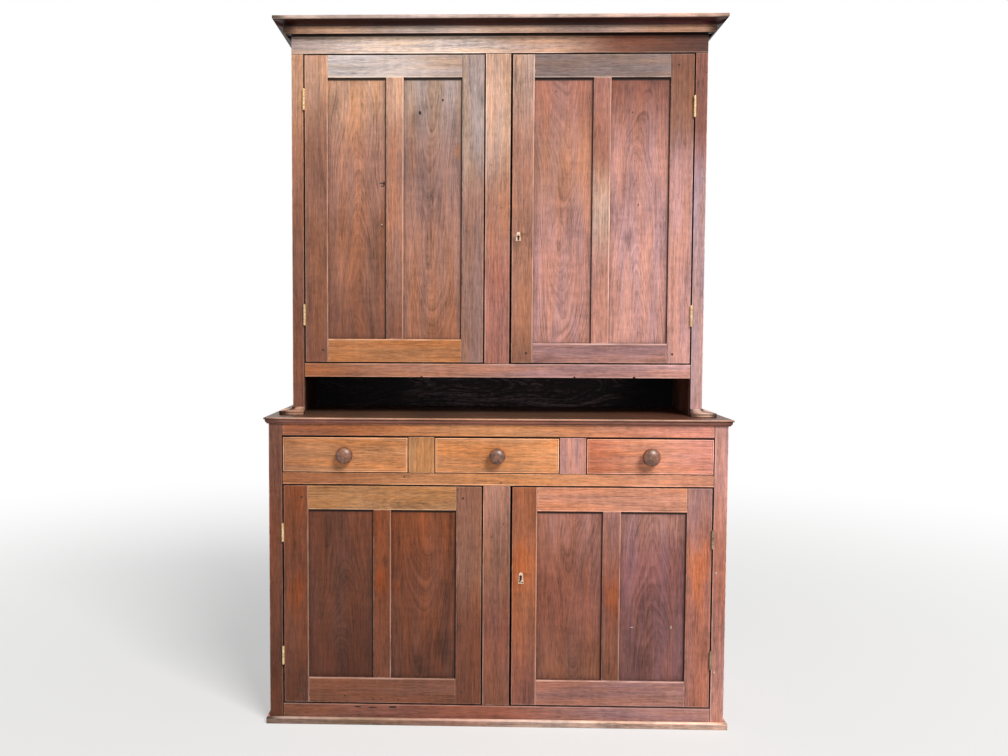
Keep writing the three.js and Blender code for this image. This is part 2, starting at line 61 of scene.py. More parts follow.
# Shades of the old finish and the plain woods, as red, green and blue from 0 to 255
# The pale grey and grey-pink ones, such as frost, ash, slate and mauve, also stand partly for the
# window's sheen on the finish, a painted reflection
SHADES = {
    "frost": (213, 194, 184),
    "chalk": (230, 202, 185),
    "ash": (184, 158, 146),
    "slate": (142, 118, 110),
    "dusk": (160, 120, 107),
    "shell": (212, 172, 152),
    "mauve": (196, 158, 161),
    "rose": (208, 155, 148),
    "petal": (198, 144, 134),
    "fawn": (205, 155, 126),
    "clay": (182, 128, 106),
    "brick": (182, 119, 102),
    "rosewood": (178, 130, 123),
    "peach": (228, 154, 122),
    "honey": (216, 145, 94),
    "straw": (186, 132, 88),
    "amber": (176, 119, 82),
    "copper": (168, 101, 69),
    "russet": (156, 105, 83),
    "clove": (134, 86, 67),
    "cocoa": (122, 72, 52),
    "bark": (104, 62, 46),
    "plum": (134, 90, 87),
    "umber": (148, 92, 76),
    "biscuit": (216, 165, 134),
    "apricot": (238, 160, 106),
    "pine": (150, 112, 76),
    "barn": (120, 88, 62),
    "caramel": (192, 126, 80),
    "toffee": (166, 102, 64),
    "salmon": (208, 124, 92),
    "coral": (228, 152, 134),
    "briar": (170, 116, 102),
    "mulberry": (148, 98, 97),
    "chestnut": (140, 77, 46),
    "driftwood": (134, 104, 84),
    "peat": (88, 50, 37),
    "bone": (240, 214, 198),
    "slag": (92, 80, 85),
    "tar": (94, 67, 52),
    "wine": (92, 46, 44),
    "oxblood": (58, 27, 22),
    "soot": (36, 30, 33),
    "ink": (5, 4, 4),
}


def linear(shade):
    """A shade's colour as the shader wants it."""
    def channel(value):
        value /= 255
        return value / 12.92 if value <= 0.04045 else ((value + 0.055) / 1.055) ** 2.4
    return tuple(channel(v) for v in SHADES[shade])


def blended(shades, share):
    """The colour at a share of the way along a row of shades."""
    spot = min(max(share, 0.0), 1.0) * (len(shades) - 1)
    first = min(int(spot), len(shades) - 1)
    second = min(first + 1, len(shades) - 1)
    t = spot - first
    t = t * t * (3 - 2 * t)
    return tuple(a + (b - a) * t for a, b in zip(linear(shades[first]), linear(shades[second])))


# Node trees
class Graph:
    """Short calls for wiring a node tree."""

    def __init__(self, tree):
        self.tree = tree

    def node(self, kind, **settings):
        made = self.tree.nodes.new(kind)
        for key, value in settings.items():
            setattr(made, key, value)
        return made

    def feed(self, socket, value):
        if isinstance(value, bpy.types.NodeSocket):
            self.tree.links.new(value, socket)
        else:
            socket.default_value = value

    def math(self, operation, *values, clamp=False):
        made = self.node("ShaderNodeMath", operation=operation, use_clamp=clamp)
        for socket, value in zip(made.inputs, values):
            self.feed(socket, value)
        return made.outputs[0]

    def times(self, *values, **settings):
        return self.math("MULTIPLY", *values, **settings)

    def plus(self, *values, **settings):
        return self.math("ADD", *values, **settings)

    def minus(self, *values, **settings):
        return self.math("SUBTRACT", *values, **settings)

    def most(self, *values, **settings):
        return self.math("MAXIMUM", *values, **settings)

    def least(self, *values, **settings):
        return self.math("MINIMUM", *values, **settings)

    def vector(self, operation, *values):
        made = self.node("ShaderNodeVectorMath", operation=operation)
        for socket, value in zip(made.inputs, values):
            self.feed(socket, value)
        return made.outputs[1 if operation in ("LENGTH", "DISTANCE") else 0]

    def parts(self, vector):
        made = self.node("ShaderNodeSeparateXYZ")
        self.feed(made.inputs[0], vector)
        return made.outputs

    def join(self, x, y, z):
        made = self.node("ShaderNodeCombineXYZ")
        for socket, value in zip(made.inputs, (x, y, z)):
            self.feed(socket, value)
        return made.outputs[0]

    def attribute(self, name, output="Vector"):
        return self.node("ShaderNodeAttribute", attribute_name=name).outputs[output]

    def noise(self, place, stretch, detail=2.0, rough=0.5, twist=0.0):
        """Noise from 0 to 1 that has the given number of turns to a metre along each axis."""
        made = self.node("ShaderNodeTexNoise")
        self.feed(made.inputs["Vector"], self.vector("MULTIPLY", place, stretch))
        made.inputs["Scale"].default_value = 1.0
        made.inputs["Detail"].default_value = detail
        made.inputs["Roughness"].default_value = rough
        made.inputs["Distortion"].default_value = twist
        return made.outputs[0]

    def range(self, value, low, high, to_low=0.0, to_high=1.0):
        """Smooth step of a value between two limits."""
        made = self.node("ShaderNodeMapRange", interpolation_type="SMOOTHSTEP")
        for socket, given in zip(made.inputs, (value, low, high, to_low, to_high)):
            self.feed(socket, given)
        return made.outputs[0]

    def mix(self, share, first, second, blend="MIX"):
        made = self.node("ShaderNodeMix", data_type="RGBA", blend_type=blend)
        for index, value in ((0, share), (6, first), (7, second)):
            self.feed(made.inputs[index], value)
        return made.outputs[2]

    def scaled(self, colour, amount):
        made = self.node("ShaderNodeVectorMath", operation="SCALE")
        self.feed(made.inputs[0], colour)
        self.feed(made.inputs["Scale"], amount)
        return made.outputs[0]


def group(name, inputs, outputs):
    """An empty node group with named sockets, and the graph that wires it."""
    tree = bpy.data.node_groups.new(name, "ShaderNodeTree")
    for label, kind, value in inputs:
        socket = tree.interface.new_socket(name=label, in_out="INPUT", socket_type=kind)
        if value is not None:
            socket.default_value = value
    for label, kind in outputs:
        tree.interface.new_socket(name=label, in_out="OUTPUT", socket_type=kind)
    graph = Graph(tree)
    return graph, graph.node("NodeGroupInput").outputs, graph.node("NodeGroupOutput").inputs


FLOAT = "NodeSocketFloat"


def board_grain():
    """Growth rings, fibres and pores of one sawn board, from the board's own place and heart."""
    inputs = [(label, FLOAT, 0.5) for label in ("Ring lines", "Fibre", "Patches", "Pores")]
    outputs = [(label, FLOAT) for label in ("Shade", "Warmth", "Height", "Blot", "Glow")]
    g, given, out = group("board grain", inputs, outputs)
    place = g.attribute("place")
    seed = g.attribute("seed")
    heart = g.parts(g.attribute("heart"))
    spot = g.vector("ADD", place, seed)
    u, v, w = g.parts(place)
    sway = g.minus(g.noise(spot, (2.4, 7.0, 7.0), 1.0), 0.5)
    swell = g.minus(g.noise(g.vector("ADD", spot, (7.1, 3.3, 1.7)), (3.2, 8.0, 8.0), 1.0), 0.5)
    across = g.plus(g.minus(v, heart[0]), g.times(sway, 0.045))
    deep = g.plus(g.minus(w, heart[1]), g.times(u, heart[2]))
    deep = g.plus(deep, g.times(swell, 0.04))
    radius = g.math("SQRT", g.plus(g.math("POWER", across, 2.0), g.math("POWER", deep, 2.0)))
    on_rings = g.join(radius, g.times(u, 0.012), g.parts(seed)[0])
    wide = g.noise(on_rings, (95.0, 95.0, 9.0), 1.0, 0.5)
    narrow = g.noise(on_rings, (330.0, 330.0, 9.0), 3.0, 0.7)
    turns = g.plus(g.times(radius, 300.0), g.times(wide, 3.0))
    lines = g.math("POWER", g.math("FRACT", turns), 3.0)
    fibre = g.noise(spot, (34.0, 270.0, 270.0), 4.0, 0.75)
    thread = g.noise(spot, (6.0, 190.0, 190.0), 3.0, 0.7)
    streak = g.noise(spot, (7.0, 80.0, 80.0), 3.0, 0.65)
    patch = g.noise(spot, (4.0, 11.0, 11.0), 3.0, 0.55)
    curl = g.noise(spot, (55.0, 14.0, 14.0), 2.0, 0.5)
    pores = g.range(g.noise(spot, (55.0, 800.0, 800.0), 2.0), 0.58, 0.68)

    def swing(value, amount):
        return g.times(g.minus(value, 0.5), amount)

    rings = g.plus(swing(narrow, 1.3), swing(wide, 0.5))
    rings = g.minus(rings, g.times(g.minus(lines, 0.25), 0.3))
    shade = g.times(rings, given["Ring lines"])
    fibres = g.plus(swing(fibre, 3.3), g.plus(swing(thread, 1.7), swing(streak, 1.3)))
    shade = g.plus(shade, g.times(fibres, given["Fibre"]))
    clouds = g.plus(swing(patch, 2.1), swing(curl, 0.7))
    shade = g.plus(shade, g.times(clouds, given["Patches"]))
    shade = g.minus(shade, g.times(pores, g.times(given["Pores"], 0.35)))
    g.feed(out["Shade"], shade)
    hue = g.noise(g.vector("ADD", spot, (2.9, 8.3, 4.1)), (2.6, 24.0, 24.0), 3.0, 0.6)
    lesser = g.plus(swing(streak, 0.4), swing(fibre, 0.4))
    g.feed(out["Warmth"], g.plus(swing(hue, 3.4), lesser))
    height = g.minus(g.times(fibre, 0.35), g.times(pores, 0.65))
    g.feed(out["Height"], g.plus(height, g.times(patch, 0.8)))
    cloud = g.noise(spot, (9.0, 30.0, 30.0), 4.0, 0.6)
    for label in ("Blot", "Glow"):
        centre = g.parts(g.attribute(label.lower()))
        along = g.times(g.minus(u, centre[0]), 0.5)
        aside = g.minus(v, centre[1])
        away = g.math("SQRT", g.plus(g.math("POWER", along, 2.0), g.math("POWER", aside, 2.0)))
        ragged = g.times(centre[2], g.range(cloud, 0.2, 0.8, 0.4, 2.0))
        inside = g.range(away, g.times(ragged, 0.2), g.times(ragged, 1.6), 1.0, 0.0)
        g.feed(out[label], g.times(inside, g.math("GREATER_THAN", centre[2], 0.0)))
    return g.tree


def board_wear_and_light():
    """Rubbed arrises and painted highlights, and dirt and painted shade, from each point's own marks and how
    near it is to the board's edges.
    """
    outputs = [(label, FLOAT) for label in ("Rubbed and lit", "Dirt and shade", "Border")]
    g, given, out = group("board wear and painted light", [("Width", FLOAT, 1.6 * MM)], outputs)
    place = g.attribute("place")
    left = g.parts(g.vector("SUBTRACT", g.attribute("half"), g.vector("ABSOLUTE", place)))
    spot = g.vector("ADD", place, g.attribute("seed"))
    nearest = g.least(left[0], left[1])
    farther = g.most(left[0], left[1])
    second = g.most(nearest, g.least(farther, left[2]))
    painted_light_and_wear = g.attribute("painted_light_and_wear", "Fac")
    rough = g.noise(spot, (60.0, 60.0, 60.0), 3.0, 0.6)
    reach = g.times(g.range(rough, 0.28, 0.72, 0.35, 1.5), given["Width"])
    inner, outer = g.times(reach, 0.55), g.times(reach, 1.25)
    edge = g.minus(1.0, g.range(second, inner, outer))
    spared = g.range(g.noise(spot, (14.0, 30.0, 30.0), 1.0), 0.3, 0.6, 0.45, 1.0)
    # The rubbed arris, joined by the painted highlights that the borders and profiles give a point
    rubbed_and_lit = g.most(edge, g.most(painted_light_and_wear, 0.0))
    g.feed(out["Rubbed and lit"], g.times(rubbed_and_lit, spared, clamp=True))
    # Dirt and dark joints, joined by the painted shade of gaps, recesses and undersides
    g.feed(out["Dirt and shade"], g.most(g.times(painted_light_and_wear, -1.0), 0.0, clamp=True))
    far = g.plus(nearest, g.times(g.minus(rough, 0.5), 0.03))
    g.feed(out["Border"], g.minus(1.0, g.range(far, 0.001, 0.022)))
    return g.tree


def specks():
    """Small scattered dents and worm holes on the face of a board."""
    g, given, out = group("specks", [("Turns", FLOAT, 9.0), ("Size", FLOAT, 1.5 * MM)], [("Mask", FLOAT)])
    spot = g.vector("ADD", g.attribute("place"), g.attribute("seed"))
    flat = g.vector("MULTIPLY", spot, (1.0, 1.0, 0.0))
    cells = g.node("ShaderNodeTexVoronoi", feature="F1")
    g.feed(cells.inputs["Vector"], flat)
    g.feed(cells.inputs["Scale"], given["Turns"])
    away = g.math("DIVIDE", cells.outputs["Distance"], given["Turns"])
    chosen = g.range(g.parts(cells.outputs["Color"])[0], 0.62, 0.66)
    dot = g.minus(1.0, g.range(away, g.times(given["Size"], 0.6), given["Size"]))
    g.feed(out["Mask"], g.times(dot, chosen))
    return g.tree


GROUPS = {"grain": board_grain(), "wear_and_light": board_wear_and_light(), "specks": specks()}


def use(g, name, **values):
    """The outputs of one of the groups, with some of its inputs set."""
    made = g.node("ShaderNodeGroup", node_tree=GROUPS[name])
    for label, value in values.items():
        g.feed(made.inputs[label.replace("_", " ")], value)
    return made.outputs


def surface(name, **settings):
    """A material with one Principled shader, its constants set on the shader's own sockets."""
    material = bpy.data.materials.new(name)
    material.use_nodes = True
    g = Graph(material.node_tree)
    shader = next(n for n in g.tree.nodes if n.type == "BSDF_PRINCIPLED")
    for label, value in settings.items():
        shader.inputs[label.replace("_", " ")].default_value = value
    return material, g, shader.inputs


def bump(g, sockets, height, distance, strength):
    """Relief from a height, fed to the shader's normal."""
    made = g.node("ShaderNodeBump")
    made.inputs["Strength"].default_value = strength
    made.inputs["Distance"].default_value = distance
    g.feed(made.inputs["Height"], height)
    g.feed(sockets["Normal"], made.outputs[0])


def walnut(name, lines, fibre, patches, pores, border, rub, roughness, coat=0.06):
    """Oiled walnut in the tint that each board holds, with its figure, wear and marks."""
    material, g, sockets = surface(name, Coat_Weight=coat, Coat_Roughness=0.3, Specular_IOR_Level=0.22)
    tint = g.attribute("tint", "Color")
    grain = use(g, "grain", Ring_lines=lines, Fibre=fibre, Patches=patches, Pores=pores)
    wear_and_light = use(g, "wear_and_light", Width=rub)
    dots = use(g, "specks")
    colour = g.scaled(tint, g.most(g.plus(grain["Shade"], 1.0), 0.2))
    warmth = g.range(grain["Warmth"], -0.5, 0.5)
    colour = g.mix(1.0, colour, g.mix(warmth, (0.94, 1.0, 1.1, 1), (1.07, 0.985, 0.86, 1)), "MULTIPLY")
    fiery = g.vector("MULTIPLY", colour, (1.35, 1.02, 0.58))
    colour = g.mix(g.times(grain["Glow"], 0.8), colour, fiery)
    colour = g.mix(g.times(grain["Blot"], 0.5), colour, g.scaled(colour, 0.35))
    colour = g.mix(g.times(wear_and_light["Border"], border), colour, g.scaled(tint, 0.45))
    # Rubbed arrises lighten, and so do the painted highlights on the arrises that face the window
    bright = g.vector("ADD", g.scaled(tint, 1.6), (0.32, 0.27, 0.23))
    colour = g.mix(g.times(wear_and_light["Rubbed and lit"], 0.8), colour, bright)
    # Dirt and dark joints darken, and so does painted shade in gaps, by panel edges and under mouldings
    colour = g.mix(wear_and_light["Dirt and shade"], colour, g.scaled(tint, 0.09))
    colour = g.mix(g.times(dots["Mask"], 0.8), colour, g.scaled(tint, 0.18))
    g.feed(sockets["Base Color"], colour)
    dull = g.plus(roughness, g.times(grain["Shade"], -0.18))
    g.feed(sockets["Roughness"], g.plus(dull, g.times(wear_and_light["Rubbed and lit"], 0.1), clamp=True))
    height = g.minus(grain["Height"], g.times(dots["Mask"], 3.0))
    bump(g, sockets, height, 0.35 * MM, 0.35)
    return material


def plain_wood(name):
    """Unfinished secondary wood, dry and dusty, with saw marks across the grain."""
    material, g, sockets = surface(name)
    tint = g.attribute("tint", "Color")
    grain = use(g, "grain", Ring_lines=0.6, Fibre=0.5, Patches=0.5, Pores=0.2)
    wear_and_light = use(g, "wear_and_light", Width=2.0 * MM)
    spot = g.vector("ADD", g.attribute("place"), g.attribute("seed"))
    saw = g.noise(spot, (260.0, 5.0, 5.0), 2.0, 0.5)
    shade = g.plus(grain["Shade"], g.times(g.minus(saw, 0.5), 0.3))
    colour = g.scaled(tint, g.most(g.plus(shade, 1.0), 0.25))
    colour = g.mix(g.times(wear_and_light["Border"], 0.45), colour, g.scaled(tint, 0.5))
    colour = g.mix(g.times(wear_and_light["Rubbed and lit"], 0.35), colour, g.scaled(tint, 1.35))
    g.feed(sockets["Base Color"], colour)
    g.feed(sockets["Roughness"], g.plus(0.72, g.times(grain["Shade"], -0.2), clamp=True))
    bump(g, sockets, g.plus(grain["Height"], saw), 0.4 * MM, 0.5)
    return material


def dark_back(name):
    """Backboards stained near black, whose hard grain stands up in ridges."""
    material, g, sockets = surface(name, Specular_IOR_Level=0.3)
    tint = g.attribute("tint", "Color")
    grain = use(g, "grain", Ring_lines=1.0, Fibre=0.35, Patches=0.3, Pores=0.2)
    ridge = g.range(grain["Shade"], -0.05, 0.4)
    colour = g.mix(ridge, g.scaled(tint, 0.4), g.scaled(tint, 5.0))
    g.feed(sockets["Base Color"], colour)
    g.feed(sockets["Roughness"], g.range(grain["Shade"], -0.5, 0.5, 0.6, 0.8))
    bump(g, sockets, grain["Shade"], 1.2 * MM, 0.5)
    return material


def turned_wood(name):
    """Dark polished wood of the turned knobs, with a few dents."""
    material, g, sockets = surface(name, Coat_Weight=1.0, Coat_Roughness=0.36, Specular_IOR_Level=0.5)
    place = g.node("ShaderNodeTexCoord").outputs["Object"]
    rings = g.noise(place, (260.0, 22.0, 150.0), 3.0, 0.6)
    blot = g.noise(place, (60.0, 60.0, 60.0), 3.0, 0.6)
    colour = g.mix(g.range(rings, 0.3, 0.7), (*linear("bark"), 1), (*linear("toffee"), 1))
    colour = g.mix(g.range(blot, 0.4, 0.7), colour, g.scaled(colour, 0.3))
    rub = g.range(g.noise(place, (90.0, 90.0, 90.0), 2.0), 0.58, 0.7)
    colour = g.mix(g.times(rub, 0.35), colour, (*linear("clay"), 1))
    g.feed(sockets["Base Color"], colour)
    g.feed(sockets["Roughness"], g.range(blot, 0.3, 0.7, 0.36, 0.5))
    bump(g, sockets, g.plus(rings, blot), 0.6 * MM, 0.5)
    return material


def old_metal(name, bright, dull, stain, rough_low, rough_high):
    """Metal that is bright where it is rubbed, and stained in its hollows."""
    bright, dull, stain = ((*colour, 1) for colour in (bright, dull, stain))
    material, g, sockets = surface(name, Metallic=1.0)
    place = g.node("ShaderNodeTexCoord").outputs["Object"]
    cloud = g.noise(place, (70.0, 70.0, 70.0), 4.0, 0.6)
    fine = g.noise(place, (420.0, 420.0, 900.0), 3.0, 0.6)
    pits = g.range(g.noise(place, (240.0, 240.0, 240.0), 2.0), 0.60, 0.72)
    colour = g.mix(g.range(cloud, 0.35, 0.68), bright, dull)
    colour = g.mix(g.times(pits, 0.75), colour, stain)
    g.feed(sockets["Base Color"], colour)
    coarse = g.plus(cloud, g.times(pits, 0.3))
    g.feed(sockets["Roughness"], g.range(coarse, 0.3, 0.8, rough_low, rough_high))
    bump(g, sockets, g.minus(fine, pits), 0.2 * MM, 0.35)
    return material


def chalky(name, pale, dark):
    """Dry paint, putty or dirt on the wood, and the painted shade of a keyhole."""
    material, g, sockets = surface(name)
    place = g.node("ShaderNodeTexCoord").outputs["Object"]
    cloud = g.noise(place, (300.0, 300.0, 300.0), 3.0, 0.6)
    g.feed(sockets["Base Color"], g.mix(g.range(cloud, 0.3, 0.7), (*pale, 1), (*dark, 1)))
    g.feed(sockets["Roughness"], g.range(cloud, 0.2, 0.8, 0.7, 0.95))
    bump(g, sockets, cloud, 0.4 * MM, 0.5)
    return material


FINISH = {
    "walnut": walnut("framing walnut", 0.55, 0.5, 0.45, 0.5, 0.0, 1.7 * MM, 0.46),
    "panel_walnut": walnut("panel walnut", 0.85, 0.45, 0.6, 0.5, 0.3, 1.0 * MM, 0.44),
    "dark_walnut": walnut("moulding walnut", 0.4, 0.7, 0.9, 0.6, 0.0, 1.6 * MM, 0.5),
    "secondary_wood": plain_wood("poplar and pine"),
    "stained_back": dark_back("stained backboard"),
    "knob_wood": turned_wood("turned knob wood"),
    "brass": old_metal("old brass", (0.92, 0.74, 0.45), (0.62, 0.42, 0.19), (0.12, 0.08, 0.04), 0.22, 0.5),
    "pale": old_metal("rubbed pale brass", (1.0, 0.76, 0.6), (0.72, 0.46, 0.28), (0.12, 0.08, 0.05),
                      0.22, 0.5),
    "tarnish": old_metal("tarnished brass", (0.48, 0.38, 0.26), (0.2, 0.14, 0.09), (0.05, 0.035, 0.02),
                         0.3, 0.6),
    "iron": old_metal("old iron", (0.30, 0.28, 0.27), (0.13, 0.11, 0.10), (0.07, 0.04, 0.025), 0.4, 0.75),
    "putty": chalky("old putty", (0.86, 0.8, 0.7), (0.66, 0.56, 0.45)),
    "dark_peg": chalky("peg end", (0.10, 0.055, 0.035), (0.04, 0.022, 0.015)),
    "end_grain": chalky("end grain", (0.24, 0.15, 0.08), (0.13, 0.08, 0.045)),
    # Dark fill for dirt in holes and gouges, and for the painted shade in the keyholes
    "dirt_and_shade": chalky("dark gouge", (0.016, 0.011, 0.009), (0.035, 0.022, 0.016)),
}

# How the board was sawn: where the heart of the log lies, across and behind the face, in metres,
# and how it slants along the board
SAWN = {
    "plain": (0.0, 0.075, 0.06),
    "flat": (0.01, 0.05, 0.045),
    "rift": (0.09, 0.05, 0.015),
}


# Mesh building
def write(mesh, name, kind, field, values):
    """One attribute of a mesh, with a row of numbers to each point."""
    layer = mesh.attributes.new(name, kind, "POINT")
    layer.data.foreach_set(field, [number for value in values for number in value])


def wood_mesh(name, points, faces, places, halves, seed, heart, tints, painted_light_and_wear, patches=None):
    """A closed mesh that holds what the wood materials read: each point's place in its board."""
    mesh = bpy.data.meshes.new(name)
    mesh.from_pydata(points, [], faces)
    count = len(points)
    vectors = {"place": places, "half": [halves] * count, "seed": [seed] * count, "heart": [heart] * count}
    for label in ("blot", "glow"):
        vectors[label] = [(patches or {}).get(label, (0.0, 0.0, -1.0))] * count
    for label, rows in vectors.items():
        write(mesh, label, "FLOAT_VECTOR", "vector", rows)
    write(mesh, "tint", "FLOAT_COLOR", "color", [(*t, 1.0) for t in tints])
    write(mesh, "painted_light_and_wear", "FLOAT", "value", [(w,) for w in painted_light_and_wear])
    facing_out(mesh)
    return mesh


def facing_out(mesh):
    """Turn the faces of a mesh outwards."""
    solid = bmesh.new()
    solid.from_mesh(mesh)
    bmesh.ops.recalc_face_normals(solid, faces=solid.faces)
    solid.to_mesh(mesh)
    solid.free()
    mesh.update()


def ring_faces(rings, count):
    """The faces between one ring of that many points and the next."""
    faces = []
    for r in range(rings - 1):
        for k in range(count):
            after = (k + 1) % count
            faces.append((r * count + k, r * count + after, (r + 1) * count + after, (r + 1) * count + k))
    return faces


def piece(name, mesh, body, slot, finish=None, stands_for=()):
    """An object that rides on a body, in the finish of its slot."""
    made = bpy.data.objects.new(name, mesh)
    scene.collection.objects.link(made)
    mesh.materials.append(FINISH[finish or slot])
    mesh.shade_smooth()
    normals = made.modifiers.new("flat faces", "WEIGHTED_NORMAL")
    normals.weight = 100
    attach(made, body)
    if stands_for:
        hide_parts(*stands_for)
    return made


# One seeded source of chance, so that every run gives the same boards
CHANCE = random.Random(1846)


def fresh_seed():
    """A place of its own in the noise for one board."""
    return tuple(CHANCE.uniform(1.0, 60.0) for _ in range(3))


def wander(turns, place, seed):
    """Slow unevenness between -1 and 1 along a board."""
    return noise.noise(Vector((place * turns, seed[0], seed[1])))


# A board's rounded ends, as (how far in, how much narrower) in shares of its arris
ENDS = ((0.0, 0.75), (0.28, 0.22), (1.0, 0.0))
# The corners of its section, as signs across and through it, each an arc of a few points
CORNERS = ((1, 1), (-1, 1), (-1, -1), (1, -1))
ARC = 3
# How far back from the face a board's side is painted dark, how far stations keep clear of a window,
# ends, painted shade where an end meets a gap
# the step round a face in the dark and that face's painted shade, and the dark at a board's jointed
SIDE_DARK_DEPTH = 5 * MM
WINDOW_CLEAR = 4 * MM
DIM_STEP = 0.5 * MM
DIM_SHADE = -0.85
END_DARK = -0.9
# How the rounding of an arris, and the rubbing and painted highlight beside it, vary along a board:
# mean and swing, and turns to a metre
ARRIS_MEAN, ARRIS_SWING, ARRIS_TURNS = 1.05, 0.75, 14
RUB_AND_LIGHT_MEAN, RUB_AND_LIGHT_SWING, RUB_AND_LIGHT_TURNS = 0.8, 0.7, 13
CORNER_APART = 3.7
# How deep a nick goes in shares of its reach, and how much dirt it holds to a metre of depth
NICK_DEPTH = 0.75
NICK_DIRT = 300

# What lies along an edge of a board's face: (millimetres from the edge, wear and light). Above zero is
# rubbing with a painted highlight on the arris; below zero is dark, a dark joint for 'joint' and painted
# shade for the rest: in the gaps, by a panel's edges and on the frieze under the crown
BORDERS = {
    "": (),
    "joint": ((0.0, -0.7), (1.0, 0.0)),
    "gap": ((0.0, -0.98), (1.1, -0.8), (2.1, 0.5), (4.2, 0.0)),
    "deep gap": ((0.0, -1.0), (2.4, -0.95), (3.6, 0.3), (5.5, 0.0)),
    "bright gap": ((0.0, -0.9), (0.9, 0.3), (2.3, 1.0), (4.8, 0.0)),
    "lit": ((0.0, 1.0), (2.0, 0.8), (3.8, 0.0)),
    "bright": ((0.0, 1.0), (3.6, 1.0), (5.4, 0.0)),
    "dim": ((0.0, -0.35), (2.5, -0.2), (5.0, 0.0)),
    "shadow": ((0.0, -0.85), (2.5, -0.7), (6.0, 0.0)),
    "deep shadow": ((0.0, -1.0), (6.2, -0.97), (9.4, 0.0)),
    "under crown": ((0.0, -0.95), (38.4, -0.95), (40.5, 0.25), (43.0, 0.0)),
}


def edge_light_and_wear(border, distance):
    """The wear and painted light at a distance from the edge that a border follows."""
    points = BORDERS[border]
    for (near, first), (far, second) in zip(points, points[1:]):
        if distance <= far * MM:
            return first + (second - first) * max(0.0, distance / MM - near) / (far - near)
    return 0.0


def side_dirt_and_shade(border, corner):
    """The dark on a board's narrow side: a dark joint, and painted shade where the side faces a gap, thick
    near the face and thin on its way to the back.
    """
    if not border:
        return 0.0
    if corner in (0, 1):
        return -0.7 if border == "joint" else 0.0
    return -0.5 if border in ("lit", "dim", "bright") else -0.9


def strongest(values):
    """Whichever of the dark and the light shows most."""
    low, high = min(values), max(values)
    return low if -low > high else high


def border_points(border, arris):
    """How far a border's points lie from the edge, all of them clear of the rounded arris."""
    return [max(d * MM, arris + (k + 1) * 0.1 * MM) for k, (d, _) in enumerate(BORDERS[border][1:])]


def cross_section(wide, deep, inset, radii, low, high):
    """Points round a board, each with -1 or 1 on its narrow edges, and its corner's number.

    The face has more points between its corners, where its low and high borders need them.
    """
    points = []
    for corner, (side, face) in enumerate(CORNERS):
        radius = radii[corner]
        if corner == 2:
            points.append((inset - wide / 2, SIDE_DARK_DEPTH - deep / 2, side, corner))
        for k in range(ARC):
            turn = math.radians(90 * corner + 90 * k / (ARC - 1))
            v = side * (wide / 2 - inset - radius) + radius * math.cos(turn)
            w = face * (deep / 2 - inset - radius) + radius * math.sin(turn)
            on_edge = k == (0 if corner in (0, 2) else ARC - 1)
            points.append((v, w, side if on_edge else 0, corner))
        if corner == 2:
            near = [d - wide / 2 for d in border_points(low, inset + radii[2])]
            far = [wide / 2 - d for d in reversed(border_points(high, inset + radii[3]))]
            points += [(v, inset - deep / 2, 0, None) for v in near + far]
    points.append((wide / 2 - inset, SIDE_DARK_DEPTH - deep / 2, side, corner))
    return points


